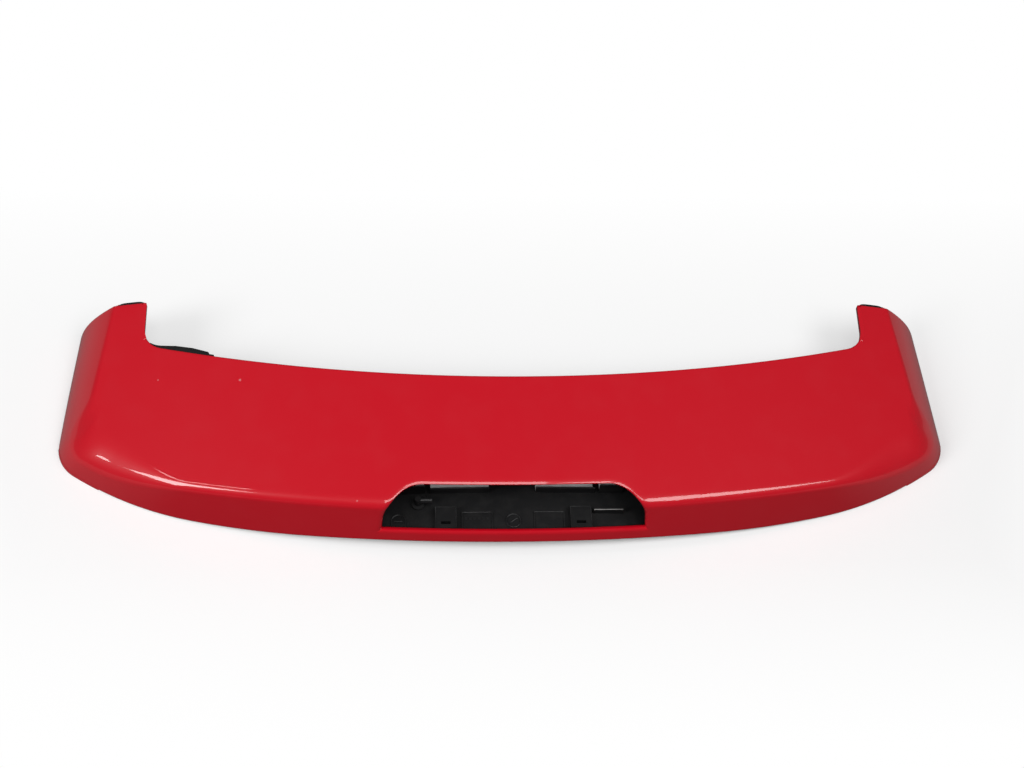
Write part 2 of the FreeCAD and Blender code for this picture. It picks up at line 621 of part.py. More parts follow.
for side, label in ((-1, "left"), (1, "right")):
    x = side * (HORN_EDGE + wall + dim("tip_seal_length") / 2)
    y = dim("horn_depth") + dim("tip_seal_proud") / 2
    strip = block(f"tip_seal_block_{label}", x, y, dim("tip_step_height"), "dims.tip_seal_length",
                  "dims.tip_seal_proud", "dims.form_height - dims.tip_step_height")
    nodes[f"horn_tip_seal_{label}"] = seal_under_roof(f"horn_tip_seal_{label}", strip, dim("tip_seal_height"))
slope = math.asin(EDGE_SEAL_PLACE / dim("front_radius"))
edge_y = dim("front_depth") + dim("front_radius") * (1 - math.cos(slope))
strip = doc.addObject("Part::Box", "edge_seal_block")
strip.setExpression("Length", "dims.edge_seal_length")
strip.setExpression("Width", "dims.edge_seal_proud * 2")
strip.setExpression("Height", "dims.form_height")
turn = Rotation(Vector(0, 0, 1), math.degrees(slope))
corner = turn.multVec(Vector(-dim("edge_seal_length") / 2, -dim("edge_seal_proud"), 0))
strip.Placement = Placement(plan(EDGE_SEAL_PLACE, edge_y) + corner, turn)
doc.recompute()
edge_strip = common("edge_strip", strip, skin_notch)
nodes["front_edge_seal"] = seal_under_roof("front_edge_seal", edge_strip, dim("edge_seal_height"))

# Washer elbow and its grommet
x, y = (dim("elbow_offset"), dim("elbow_depth"))
upright = rod("elbow_upright", x, y, elbow_floor - dim("grommet_height"), "dims.elbow_radius", "dims.elbow_height")
upright_bore = rod("elbow_upright_bore", x, y, 0.0, "dims.elbow_bore",
                   f"{elbow_floor} + dims.elbow_height - dims.grommet_height - dims.elbow_radius")
flat_height = elbow_floor - dim("grommet_height") + dim("elbow_height") - dim("elbow_radius")
legs = []
for name, radius in (("elbow_flat", "dims.elbow_radius"), ("elbow_flat_bore", "dims.elbow_bore")):
    leg = doc.addObject("Part::Cylinder", name)
    leg.setExpression("Radius", radius)
    leg.setExpression("Height", "dims.elbow_reach")
    leg.Placement = Placement(plan(x, y, flat_height), Rotation(Vector(0, 1, 0), 90))
    legs.append(leg)
nodes["washer_elbow"] = cut("washer_elbow", fuse("elbow_body", [upright, legs[0]]), upright_bore, legs[1])
grommet_foot = elbow_floor + dim("grommet_clearance")
grommet_body = rod("grommet_body", x, y, grommet_foot, "dims.grommet_radius", "dims.grommet_height")
grommet_bore = rod("grommet_bore", x, y, 0.0, "dims.elbow_radius", "dims.roof_height")
nodes["washer_grommet"] = cut("washer_grommet", grommet_body, grommet_bore)

doc.recompute()
for name, obj in nodes.items():
    obj.Label = name
for obj in doc.Objects:
    if "Invalid" in obj.State or "Error" in obj.State:
        raise RuntimeError(f"{obj.Name} failed: {obj.State}")
os.makedirs("parts", exist_ok=True)
for name, obj in nodes.items():
    if obj.Shape.isNull() or not obj.Shape.isValid():
        raise RuntimeError(f"{name} has no valid shape")
for name, obj in nodes.items():
    obj.Shape.exportStep(f"parts/{name}.step")
    box = obj.Shape.BoundBox
    print(f"{name}: {len(obj.Shape.Solids)} solids, {obj.Shape.Volume / 1000:.1f} cm3, "
          f"x {box.XMin:.1f}..{box.XMax:.1f} y {box.YMin:.1f}..{box.YMax:.1f} z {box.ZMin:.1f}..{box.ZMax:.1f}")
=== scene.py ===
"""Tailgate spoiler: looks of its painted skin, black carrier, seals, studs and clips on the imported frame."""
import math

import bmesh
import bpy
import numpy as np
from mathutils import Matrix, Vector


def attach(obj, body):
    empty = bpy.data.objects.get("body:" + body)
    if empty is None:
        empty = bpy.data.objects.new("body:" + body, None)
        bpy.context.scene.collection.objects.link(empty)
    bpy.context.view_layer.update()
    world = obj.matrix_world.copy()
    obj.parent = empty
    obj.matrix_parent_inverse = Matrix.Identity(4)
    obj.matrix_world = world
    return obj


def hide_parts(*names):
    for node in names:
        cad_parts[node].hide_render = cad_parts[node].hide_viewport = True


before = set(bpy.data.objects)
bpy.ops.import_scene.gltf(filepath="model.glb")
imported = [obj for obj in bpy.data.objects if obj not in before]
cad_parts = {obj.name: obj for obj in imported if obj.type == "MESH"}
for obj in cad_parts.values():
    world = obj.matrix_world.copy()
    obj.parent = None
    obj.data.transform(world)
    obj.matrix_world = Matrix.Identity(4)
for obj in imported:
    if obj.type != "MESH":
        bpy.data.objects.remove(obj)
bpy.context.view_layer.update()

bl_info = {
    "name": "Tailgate spoiler",
    "version": (1, 0, 0),
    "blender": (4, 5, 0),
    "location": "3D View > Sidebar > Spoiler",
    "description": "Builds the painted skin, carrier finish, seals, studs and stage of a tailgate spoiler",
    "category": "Object",
}

MM = 0.001
SKIN_ROWS = 16
RIDGE_ROWS = 12
ROOF_ROWS = 42
MIDDLE_COLUMNS = 62
FLANK_COLUMNS = 96
BEND_STEPS = 4
CORNER_DENSITY = 3.5
CREASE_GAIN = 4.0
RIDGE_SHARE = 0.8
FOOT_LIFT = 0.0004


def length(name, description, default):
    """A length property in metres, written in millimetres."""
    return bpy.props.FloatProperty(
        name=name, description=description, default=default * MM, unit="LENGTH", precision=4
    )


def degrees(name, description, default):
    """An angle property, written in degrees."""
    return bpy.props.FloatProperty(
        name=name, description=description, default=math.radians(default), subtype="ANGLE"
    )


def colour(name, description, default):
    """A linear colour property."""
    return bpy.props.FloatVectorProperty(
        name=name, description=description, default=default, subtype="COLOR", size=3, min=0.0, max=1.0
    )


class SpoilerSizes(bpy.types.PropertyGroup):
    """The skin's driving sizes."""

    overall_width: length("Overall width", "Width across the lower side edges", 1180.0)
    middle_radius: length("Middle radius", "Plan radius of the middle of the trailing edge", 1728.0)
    middle_sweep: degrees("Middle sweep", "Half sweep of the middle arc", 13.72)
    shoulder_sweep: degrees("Shoulder sweep", "Sweep of the shoulder arc", 19.65)
    side_radius: length("Side radius", "Plan radius of the side edge", 4423.0)
    side_toe: degrees("Side toe", "How far the side edge turns in at the corner", 2.42)
    side_run: length("Side run", "Length of the side arc, past the horn tip", 240.0)
    form_height: length("Form height", "Height at which the upper outline is drawn", 130.0)
    rear_inset: length("Rear inset", "Lean of the skirt over the form height at the middle", 26.6)
    side_inset: length("Side inset", "Lean of the skirt over the form height at the corner", 172.0)
    side_bulge: length("Side bulge", "How far the side stands out at half the form height", 29.0)
    corner_radius: length("Corner radius", "Plan radius of the rear corner", 53.3)
    upper_corner_radius: length("Upper corner radius", "Corner radius of the upper outline", 39.5)
    upper_side_toe: degrees("Upper side toe", "Side direction of the upper outline", -9.32)
    arch_rise: length("Arch rise", "Rise of the lower edge at the middle", 26.2)
    arch_reach: length("Arch reach", "Half width of the arch", 520.0)
    roof_height: length("Roof height", "Height of the roof above the trailing edge", 92.0)
    roof_slope: degrees("Roof slope", "Rise of the roof towards the front", 7.23)
    crown_radius: length("Crown radius", "Sideways crown of the roof", 2711.0)
    front_depth: length("Front depth", "Plan depth to the front edge at the middle", 197.8)
    front_radius: length("Front radius", "Plan radius of the front edge", 1678.0)
    horn_gap: length("Horn gap", "Distance between the horns", 955.0)
    notch_radius: length("Notch radius", "Corner radius between front edge and horn", 33.0)
    horn_depth: length("Horn depth", "Plan depth to the horn tips", 328.5)
    tip_seal_proud: length("Tip seal proud", "How far the horn tip seals stand out", 4.5)
    tip_step_height: length("Tip step height", "Height below which the horn tip slants back", 38.0)
    tip_slant: degrees("Tip slant", "Slant of the lower part of the horn tip", 4.0)
    ridge_round: length("Ridge round", "Rounding along the rear ridge", 13.0)
    corner_round: length("Corner round", "Rounding of the ridge at the corner", 46.0)
    crease_round: length("Crease round", "Rounding of the side crease at the horn tip", 8.0)
    skin_wall: length("Skin wall", "Wall of the painted skin", 2.4)
    edge_round: length("Edge round", "Rounding of the skin's edges", 2.4)
    lip_width: length("Lip width", "Width of the lip along the lower edge", 14.0)
    return_depth: length("Return depth", "Depth of the flange under the front edge", 10.0)
    aperture_base: length("Aperture base", "Width of the lamp aperture at its lower edge", 334.6)
    aperture_top: length("Aperture top", "Width of the lamp aperture at its upper edge", 318.0)
    aperture_height: length("Aperture height", "Slant height of the lamp aperture", 62.2)
    aperture_start: length("Aperture start", "Slant distance of its lower edge", 44.7)
    aperture_tilt: degrees("Aperture tilt", "Tilt of the aperture's plane", 52.0)
    aperture_corner: length("Aperture corner", "Radius of its upper corners", 50.0)
    aperture_return: length("Aperture return", "Depth of the flange inside it", 9.0)
    aperture_round: length("Aperture round", "Rounding of its rim", 6.0)


class SpoilerColours(bpy.types.PropertyGroup):
    """The finishes' main colours."""

    paint: colour("Paint", "Red of the clear-coated paint", (0.55, 0.003, 0.013))
    carrier: colour("Carrier", "Black of the moulded carrier", (0.005, 0.0051, 0.0055))
    seal: colour("Seal", "Black of the foam rubber seals", (0.007, 0.007, 0.0072))
    edges: colour("Edges", "Black of smooth moulded edges", (0.012, 0.012, 0.0125))
    zinc: colour("Zinc", "Plating of the studs", (0.62, 0.60, 0.56))
    clip: colour("Clip", "Plastic of the clips", (0.70, 0.69, 0.64))
    floor: colour("Floor", "Studio floor", (0.9, 0.9, 0.9))


def sizes():
    return bpy.context.scene.spoiler_sizes


def colours():
    return bpy.context.scene.spoiler_colours


# Form of the skin


class SkinForm:
    """The skin's outer surface from its driving sizes: leaning skirt, crowned roof, round ridge, edges."""

    def __init__(self, s):
        self.s = s
        self.lean = s.rear_inset / s.form_height
        rear = s.arch_rise * self.lean
        self.shift = -(rear + s.horn_depth + s.tip_seal_proud) / 2
        self.lower, self.half, self.upper = (self.arcs(share) for share in (0.0, 0.5, 1.0))
        self.bend = (s.arch_reach / 2) ** 2 / s.arch_rise + s.arch_rise / 4

    def arcs(self, share):
        """Tangent arcs from the middle of the trailing edge to the horn, at a share of the form height.

        Each is (centre x, centre y, radius, from, to).
        """
        s = self.s
        lean_in = s.rear_inset * share
        half_width = s.overall_width / 2 - s.side_inset * share + s.side_bulge * 4 * share * (1 - share)
        corner_radius = s.corner_radius + (s.upper_corner_radius - s.corner_radius) * share
        toe = s.side_toe + (s.upper_side_toe - s.side_toe) * share
        middle = s.middle_sweep
        shoulder = middle + s.shoulder_sweep
        corner = math.pi / 2 + toe
        middle_reach = (s.middle_radius - lean_in) * math.sin(middle)
        corner_reach = corner_radius * (math.sin(min(corner, math.pi / 2)) - math.sin(shoulder))
        shoulder_reach = half_width - middle_reach - corner_reach
        shoulder_radius = shoulder_reach / (math.sin(shoulder) - math.sin(middle))
        radii = (s.middle_radius - lean_in, shoulder_radius, corner_radius, s.side_radius)
        headings = (0.0, middle, shoulder, corner, corner + s.side_run / s.side_radius)
        x, y = 0.0, lean_in
        made = []
        for radius, begin, end in zip(radii, headings[:-1], headings[1:]):
            cx = x - radius * math.sin(begin)
            cy = y + radius * math.cos(begin)
            made.append((cx, cy, radius, begin, end))
            x = cx + radius * math.sin(end)
            y = cy - radius * math.cos(end)
        return made

    @staticmethod
    def on_arc(arc, share):
        cx, cy, radius, begin, end = arc
        heading = begin + (end - begin) * share
        return np.array([cx + radius * math.sin(heading), cy - radius * math.cos(heading)])

    def arch(self, x):
        """Height of the lower edge at a sideways place."""
        s = self.s
        x = min(abs(x), s.arch_reach)
        if x < s.arch_reach / 2:
            return s.arch_rise - self.bend + math.sqrt(self.bend**2 - x * x)
        return self.bend - math.sqrt(self.bend**2 - (s.arch_reach - x) ** 2)

    def roof(self, x, y):
        """Height of the crowned roof at a plan place."""
        s = self.s
        sag = math.sqrt(s.crown_radius**2 - x * x) - s.crown_radius
        return s.roof_height + y * math.tan(s.roof_slope) + sag / math.cos(s.roof_slope)

    def front(self, x):
        """Plan depth of the front edge."""
        s = self.s
        return s.front_depth + s.front_radius - math.sqrt(s.front_radius**2 - x * x)

    def inner_edge(self):
        """Fillet of the notch corner in plan: its centre, and the angle at which it starts."""
        s = self.s
        centre = s.front_depth + s.front_radius
        x = s.horn_gap / 2 - s.notch_radius
        y = centre - math.sqrt((s.front_radius - s.notch_radius) ** 2 - x * x)
        return (x, y), math.atan2(y - centre, x)

    def front_point(self, run, start):
        """Point of the front edge, notch corner and horn edge at a run from a place on the front edge."""
        s = self.s
        (fx, fy), away = self.inner_edge()
        meet = math.asin((fx + s.notch_radius * math.cos(away)) / s.front_radius)
        begin = math.asin(start / s.front_radius)
        edge_run = s.front_radius * (meet - begin)
        if run <= edge_run:
            angle = begin + run / s.front_radius
            x = s.front_radius * math.sin(angle)
            return np.array([x, self.front(x)])
        run -= edge_run
        corner_run = s.notch_radius * -away
        if run <= corner_run:
            angle = away + run / s.notch_radius
            return np.array([fx + s.notch_radius * math.cos(angle), fy + s.notch_radius * math.sin(angle)])
        return np.array([s.horn_gap / 2, fy + run - corner_run])

    def front_run(self, start, share):
        """Run along that curve at a share of the columns, which stand closer in the notch corner."""
        s = self.s
        (fx, fy), away = self.inner_edge()
        meet = math.asin((fx + s.notch_radius * math.cos(away)) / s.front_radius)
        begin = math.asin(start / s.front_radius)
        runs = np.cumsum([0.0, s.front_radius * (meet - begin), s.notch_radius * -away, s.horn_depth - fy])
        crowd = np.cumsum([0.0, runs[1], (runs[2] - runs[1]) * CORNER_DENSITY, runs[3] - runs[2]])
        return np.interp(share * crowd[-1], crowd, runs)

    def skirt(self, place, z):
        """Plan point of the skirt at a height; the station is x in the middle, then an arc number."""
        s = self.s
        if place[0] == "middle":
            x = place[1]
            radius = s.middle_radius - self.lean * z
            return np.array([x, s.middle_radius - math.sqrt(radius * radius - x * x)])
        number, share, straight = place[1]
        low = self.on_arc(self.lower[number], share)
        half = self.on_arc(self.half[number], share)
        high = self.on_arc(self.upper[number], share)
        up = z / s.form_height
        point = low * (1 - up) * (1 - 2 * up) + half * 4 * up * (1 - up) + high * up * (2 * up - 1)
        if straight > 0.0:
            x = low[0] + (point[0] - low[0]) * (1.0 - straight)
            radius = s.middle_radius - self.lean * z
            point = np.array([x, s.middle_radius - math.sqrt(radius * radius - x * x)])
        return point

    def foot(self, place):
        z = 0.0
        for _ in range(6):
            z = self.arch(self.skirt(place, z)[0])
        return z + FOOT_LIFT

    def ridge(self, place):
        z = self.s.roof_height * 0.8
        for _ in range(60):
            z = 0.5 * z + 0.5 * self.roof(*self.skirt(place, z))
        return z

    def profile(self, place, goal, rounding):
        """Outer profile of one station, in rows from the lower edge over the ridge to the front edge."""
        s = self.s
        z_foot = self.foot(place)
        z_ridge = self.ridge(place)
        top = np.array([*self.skirt(place, z_ridge), z_ridge])
        below = np.array([*self.skirt(place, z_ridge - s.ridge_round), z_ridge - s.ridge_round])
        down = (below - top) / np.linalg.norm(below - top)
        ahead = goal - top[:2]
        span = np.linalg.norm(ahead)
        ahead = ahead / span
        near = top[:2] + ahead * s.ridge_round
        inward = np.array([*near, self.roof(*near)]) - top
        inward = inward / np.linalg.norm(inward)
        angle = math.acos(float(np.dot(down, inward)))
        room = (z_ridge - z_foot) / -down[2]
        tangent = min(rounding / math.tan(angle / 2), span * 0.45, room * RIDGE_SHARE)
        start = z_ridge + down[2] * tangent
        rows = []
        for share in np.linspace(0, 1, SKIN_ROWS):
            z = z_foot + (start - z_foot) * share
            rows.append(np.array([*self.skirt(place, z), z]))
        begin = rows[-1]
        finish_plan = top[:2] + inward[:2] * tangent
        finish = np.array([*finish_plan, self.roof(*finish_plan)])
        for share in np.linspace(0, 1, RIDGE_ROWS + 2)[1:-1]:
            rows.append(self.round_point(begin, top, finish, angle, share))
        for share in np.linspace(0, 1, ROOF_ROWS):
            plan = finish_plan + (goal - finish_plan) * share
            rows.append(np.array([*plan, self.roof(*plan)]))
        return np.array(rows)

    @staticmethod
    def round_point(begin, corner, finish, angle, share):
        """Point of the arc that rounds a corner between two tangent points, by a rational quadratic."""
        weight = math.sin(angle / 2)
        a = (1 - share) ** 2
        b = 2 * weight * share * (1 - share)
        c = share**2
        return (a * begin + b * corner + c * finish) / (a + b + c)


def stations(form):
    """Stations from the middle to past the horn tip: (place, share of the flank, rounding)."""
    s = form.s
    limit = s.middle_radius * math.sin(s.middle_sweep)
    split = limit * 0.6
    made = []
    for x in np.linspace(0.0, split, MIDDLE_COLUMNS):
        made.append((("middle", x), 0.0, s.ridge_round))
    lengths = []
    for number, arc in enumerate(form.lower):
        whole = arc[2] * (arc[4] - arc[3])
        lengths.append(whole)
    begin = form.lower[0][2] * math.asin(split / s.middle_radius)
    tip = sum(lengths[:3]) + lengths[3] * form_tip_share(form)
    for run in np.linspace(begin, tip, FLANK_COLUMNS + 1)[1:]:
        number = 0
        rest = run
        while number < 3 and rest > lengths[number]:
            rest -= lengths[number]
            number += 1
        share = rest / lengths[number]
        straight = max(0.0, 1.0 - (run - begin) / (lengths[0] - begin)) if number == 0 else 0.0
        if number == 0:
            rounding = s.ridge_round
        elif number == 1:
            rounding = s.ridge_round + (s.corner_round - s.ridge_round) * smooth(share)
        elif number == 2:
            rounding = s.corner_round
        else:
            crisp = smooth(min(1.0, share * CREASE_GAIN))
            rounding = s.corner_round + (s.crease_round - s.corner_round) * crisp
        made.append((("flank", (number, share, straight)), (run - begin) / (tip - begin), rounding))
    return made, split


def smooth(share):
    return share * share * (3 - 2 * share)


def form_tip_share(form):
    """Share of the side arc at which the crease reaches the horn tip's plane."""
    low, high = 0.0, 1.0
    for _ in range(40):
        mid = (low + high) / 2
        place = ("flank", (3, mid, 0.0))
        if form.skirt(place, form.ridge(place))[1] < form.s.horn_depth:
            low = mid
        else:
            high = mid
    return low


def tip_plane(form, z):
    """Plan depth of the horn tip's face at a height; its lower part slants back."""
    s = form.s
    return s.horn_depth - max(0.0, s.tip_step_height - z) * math.tan(s.tip_slant)


def skin_grid(form):
    """Grid of the outer surface: rows from lower to front edge, columns from middle to horn tip."""
    made, split = stations(form)
    columns = []
    for place, share, rounding in made:
        if place[0] == "middle":
            goal = np.array([place[1], form.front(place[1])])
        else:
            goal = form.front_point(form.front_run(split, share), split)
        columns.append(form.profile(place, goal, rounding))
    grid = np.array(columns).transpose(1, 0, 2)
    return trim_tips(form, grid)


def trim_tips(form, grid):
    """Ends each row on the horn tip's face, and spreads the rest of its flank evenly up to there."""
    count = grid.shape[1]
    begin = count - FLANK_COLUMNS // 3
    index = np.arange(count, dtype=float)
    for row in grid:
        over = []
        for column in range(begin, count):
            if row[column, 1] >= tip_plane(form, row[column, 2]) - 1e-9:
                over.append(column)
        last = over[0] if over else count - 1
        a, b = row[last - 1], row[last]
        gap_a = tip_plane(form, a[2]) - a[1]
        gap_b = tip_plane(form, b[2]) - b[1]
        end = last - 1 + (gap_a / (gap_a - gap_b) if gap_a != gap_b else 1.0)
        wanted = begin + (index[begin:] - begin) * (end - begin) / (count - 1 - begin)
        moved = np.stack([np.interp(wanted, index, row[:, axis]) for axis in range(3)], axis=1)
        row[begin:] = moved
    return grid


# Lamp aperture, worked out in its own slanted plane


class Aperture:
    """Rounded trapezium of the lamp aperture, in sideways and slant distance, grown by an amount."""

    def __init__(self, s, grow):
        self.low = s.aperture_start - grow
        self.high = s.aperture_start + s.aperture_height + grow
        self.base = s.aperture_base / 2 + grow
        self.top = s.aperture_top / 2 + grow
        bend = s.aperture_corner + grow
        side = np.array([self.top - self.base, self.high - self.low])
        side = side / np.linalg.norm(side)
        turn = math.acos(side[0]) / 2
        self.reach = bend / math.tan(turn)
        self.centre = np.array([self.top - self.reach, self.high - bend])
        self.bend = bend
        self.side = side
        normal = np.array([side[1], -side[0]])
        self.side_angle = math.atan2(normal[1], normal[0])
        self.middle_angle = (self.side_angle + math.pi / 2) / 2

    def corner(self, angle):
        return self.centre + self.bend * np.array([math.cos(angle), math.sin(angle)])

    def side_at(self, slant):
        """Sideways place of the side at a slant distance, and the outward normal there."""
        start = self.corner(self.side_angle)
        if slant <= start[1]:
            share = (slant - self.low) / (start[1] - self.low)
            x = self.base + (start[0] - self.base) * share
            return np.array([x, slant]), np.array([math.cos(self.side_angle), math.sin(self.side_angle)])
        angle = math.asin(min(1.0, (slant - self.centre[1]) / self.bend))
        return self.corner(angle), np.array([math.cos(angle), math.sin(angle)])

    def top_at(self, x):
        """Slant place of the top at a sideways distance, and the outward normal there."""
        if x <= self.centre[0]:
            return np.array([x, self.high]), np.array([0.0, 1.0])
        angle = math.acos(min(1.0, (x - self.centre[0]) / self.bend))
        return self.corner(angle), np.array([math.cos(angle), math.sin(angle)])


def slant_of(s, point):
    return point[..., 1] * math.cos(s.aperture_tilt) + point[..., 2] * math.sin(s.aperture_tilt)


class MiddleSurface:
    """The skin's middle, looked up by sideways place and slant distance."""

    def __init__(self, form):
        self.form = form
        self.dense = {}

    def point(self, x, slant):
        form = self.form
        key = round(x, 7)
        if key not in self.dense:
            goal = np.array([x, form.front(x)])
            rows = form.profile(("middle", x), goal, form.s.ridge_round)
            self.dense[key] = (slant_of(form.s, rows), rows)
        slants, rows = self.dense[key]
        return np.array([x, np.interp(slant, slants, rows[:, 1]), np.interp(slant, slants, rows[:, 2])])


def open_aperture(form, grid):
    """Warps the grid's middle so that the aperture's outline lies on it; returns its corner indices."""
    s = form.s
    shape = Aperture(s, s.aperture_round)
    slants = slant_of(s, grid[:, 0])
    low = int(np.argmin(np.abs(slants - shape.low)))
    high = int(np.argmin(np.abs(slants - shape.high)))
    sideways = grid[0, :MIDDLE_COLUMNS, 0]
    edge = int(np.argmin(np.abs(sideways - (shape.base + shape.top) / 2)))
    rows = high + 12
    columns = MIDDLE_COLUMNS
    flat = np.stack([grid[:rows, :columns, 0], slant_of(s, grid[:rows, :columns])], axis=2)
    move = np.zeros_like(flat)
    fixed = np.zeros(flat.shape[:2], dtype=bool)
    fixed[0] = fixed[-1] = True
    fixed[:, -1] = True
    corner = shape.corner(shape.middle_angle)
    normals = {}
    for row in range(low, high + 1):
        slant = flat[row, 0, 1]
        share = (slant - flat[low, 0, 1]) / (flat[high, 0, 1] - flat[low, 0, 1])
        slant = shape.low + (corner[1] - shape.low) * share
        place, normal = shape.side_at(min(slant, corner[1]))
        if row == high:
            place, normal = corner, np.array([math.cos(shape.middle_angle), math.sin(shape.middle_angle)])
        move[row, edge] = place - flat[row, edge]
        fixed[row, edge] = True
        normals[(row, edge)] = normal
    for column in range(edge + 1):
        share = sideways[column] / sideways[edge]
        move[low, column] = np.array([shape.base * share, shape.low]) - flat[low, column]
        fixed[low, column] = True
        normals[(low, column)] = np.array([0.0, -1.0])
        place, normal = shape.top_at(corner[0] * share)
        move[high, column] = place - flat[high, column]
        fixed[high, column] = True
        normals[(high, column)] = normal
    normals[(low, edge)] = np.array([math.cos(shape.side_angle), -1.0]) / math.sqrt(2.0)
    free = ~fixed
    for _ in range(1500):
        padded = np.pad(move, ((1, 1), (1, 1), (0, 0)), mode="edge")
        near = (padded[2:, 1:-1] + padded[:-2, 1:-1] + padded[1:-1, 2:] + padded[1:-1, :-2]) / 4
        near[:, 0, 0] = 0.0
        move[free] = near[free]
    flat = flat + move
    surface = MiddleSurface(form)
    for row in range(rows):
        for column in range(columns):
            if np.abs(move[row, column]).max() > 1e-7:
                grid[row, column] = surface.point(*flat[row, column])
    return (low, high, edge), flat, normals, surface


def quadratic(begin, corner, finish, steps):
    """Points of a rounded corner after its first one."""
    made = []
    for share in np.linspace(0, 1, steps + 1)[1:]:
        made.append((1 - share) ** 2 * begin + 2 * share * (1 - share) * corner + share**2 * finish)
    return made


class SkinMesh:
    """Collects the skin's points and faces for one half."""

    def __init__(self):
        self.points = []
        self.faces = []

    def add(self, point):
        self.points.append(point)
        return len(self.points) - 1

    def strip(self, start, edges, directions, depth, bend):
        """A flange that turns in from a run of points: rounded corner, then a straight wall."""
        rails = [list(start)]
        made = []
        for corner, direction, first in zip(edges, directions, start):
            begin = self.points[first]
            line = quadratic(begin, corner, corner + direction * bend, BEND_STEPS)
            line.append(corner + direction * (bend + depth) / 2)
            line.append(corner + direction * depth)
            made.append([self.add(point) for point in line])
        for level in range(len(made[0])):
            rails.append([line[level] for line in made])
        for below, above in zip(rails[:-1], rails[1:]):
            for i in range(len(below) - 1):
                self.faces.append((below[i], below[i + 1], above[i + 1], above[i]))
        return rails[-1]


def unit(vector):
    return vector / np.linalg.norm(vector)


def build_skin_half(form):
    """Points and faces of the right half of the skin, as one sheet."""
    s = form.s
    grid = skin_grid(form)
    hole, flat, normals, surface = open_aperture(form, grid)
    low, high, edge = hole
    rows, columns = grid.shape[:2]
    bend = s.edge_round
    inset = grid.copy()
    inset[0] = grid[0] + np.array([unit(v) for v in grid[1] - grid[0]]) * bend
    inset[-1] = grid[-1] + np.array([unit(v) for v in grid[-2] - grid[-1]]) * bend
    tips = np.array([unit(v) for v in grid[:, -2] - grid[:, -1]])
    inset[:, -1] = inset[:, -1] + tips * bend
    mesh = SkinMesh()
    index = -np.ones((rows, columns), dtype=int)
    for row in range(rows):
        for column in range(columns):
            if low < row < high and column < edge:
                continue
            index[row, column] = mesh.add(inset[row, column])
    for row in range(rows - 1):
        for column in range(columns - 1):
            if low <= row < high and column < edge:
                continue
            mesh.faces.append(
                (
                    index[row, column],
                    index[row, column + 1],
                    index[row + 1, column + 1],
                    index[row + 1, column],
                )
            )
    inward = []
    for column in range(columns):
        along = grid[0, min(column + 1, columns - 1)] - grid[0, max(column - 1, 0)]
        inward.append(unit(np.array([-along[1], along[0], 0.0])))
    mesh.strip(index[0, ::-1], grid[0, ::-1], inward[::-1], s.lip_width, bend)
    down = np.array([0.0, 0.0, -1.0])
    mesh.strip(index[-1], grid[-1], [down] * columns, s.return_depth, bend)
    across = np.array([-1.0, 0.0, 0.0])
    turn = np.clip((np.arange(rows) - SKIN_ROWS) / RIDGE_ROWS, 0.0, 1.0)
    tip_directions = [unit(across * (1 - t) + down * t) for t in turn]
    mesh.strip(index[:, -1], grid[:, -1], tip_directions, s.return_depth, bend)
    loop = [(low, column) for column in range(edge)]
    loop += [(row, edge) for row in range(low, high)]
    loop += [(high, column) for column in range(edge, -1, -1)]
    sink = np.array([0.0, math.sin(s.aperture_tilt), -math.cos(s.aperture_tilt)])
    corners = []
    for row, column in loop:
        place = flat[row, column] - normals[(row, column)] * s.aperture_round
        corners.append(surface.point(max(place[0], 0.0), place[1]))
    around = [index[key] for key in loop]
    mesh.strip(around, corners, [sink] * len(loop), s.aperture_return, s.aperture_round)
    points = np.array(mesh.points)
    points[:, 1] += form.shift
    return points, mesh.faces


def mirrored_mesh(name, points, faces):
    """A mesh of one half and its mirror image, merged at the middle, with faces that point outwards."""
    mesh = bpy.data.meshes.new(name)
    count = len(points)
    other = points * np.array([-1.0, 1.0, 1.0])
    turned = [tuple(reversed([vertex + count for vertex in face])) for face in faces]
    mesh.from_pydata([tuple(p) for p in np.vstack([points, other])], [], list(faces) + turned)
    work = bmesh.new()
    work.from_mesh(mesh)
    middle = [vertex for vertex in work.verts if abs(vertex.co.x) < 1e-5]
    bmesh.ops.remove_doubles(work, verts=middle, dist=2e-5)
    bmesh.ops.recalc_face_normals(work, faces=work.faces)
    top = max(work.faces, key=lambda face: face.calc_center_median().z)
    if top.normal.z < 0:
        bmesh.ops.reverse_faces(work, faces=work.faces)
    work.to_mesh(mesh)
    work.free()
    return mesh


def finish_edges(mesh, angle):
    """Smooth shading, with edges sharper than an angle kept crisp."""
    work = bmesh.new()
    work.from_mesh(mesh)
    for face in work.faces:
        face.smooth = True
    for edge in work.edges:
        edge.smooth = not edge.is_manifold or edge.calc_face_angle(0.0) < angle
    work.to_mesh(mesh)
    work.free()


# Shared surface effects

BLACK_SHEEN = 0.25
# Two paint chips near the front edge and a painted glint on the rear ridge beside the lamp aperture, all mixed
# in one pale pink tone.
CHIPS_AND_GLINT = (
    ((-0.3473, 0.0357, 0.0955), 0.0022),
    ((-0.4537, 0.0449, 0.0806), 0.0014),
    ((-0.1958, -0.1354, 0.0891), 0.0018),
)
CHIP_AND_GLINT_TONE = (0.62, 0.16, 0.17)
# Pale grey of the stop bar's top edge: a painted highlight.
PAINTED_HIGHLIGHT_TONE = (0.3, 0.29, 0.28)


def new_group(name, inputs, outputs):
    """An empty shader node group with named sockets; returns it with its input and output nodes."""
    group = bpy.data.node_groups.new(name, "ShaderNodeTree")
    for label, kind, default in inputs:
        socket = group.interface.new_socket(label, in_out="INPUT", socket_type=kind)
        socket.default_value = default
    for label, kind in outputs:
        group.interface.new_socket(label, in_out="OUTPUT", socket_type=kind)
    return group, group.nodes.new("NodeGroupInput"), group.nodes.new("NodeGroupOutput")


def noise_node(tree, scale_socket, detail, vector):
    node = tree.nodes.new("ShaderNodeTexNoise")
    node.inputs["Detail"].default_value = detail
    tree.links.new(scale_socket, node.inputs["Scale"])
    tree.links.new(vector, node.inputs["Vector"])
    return node


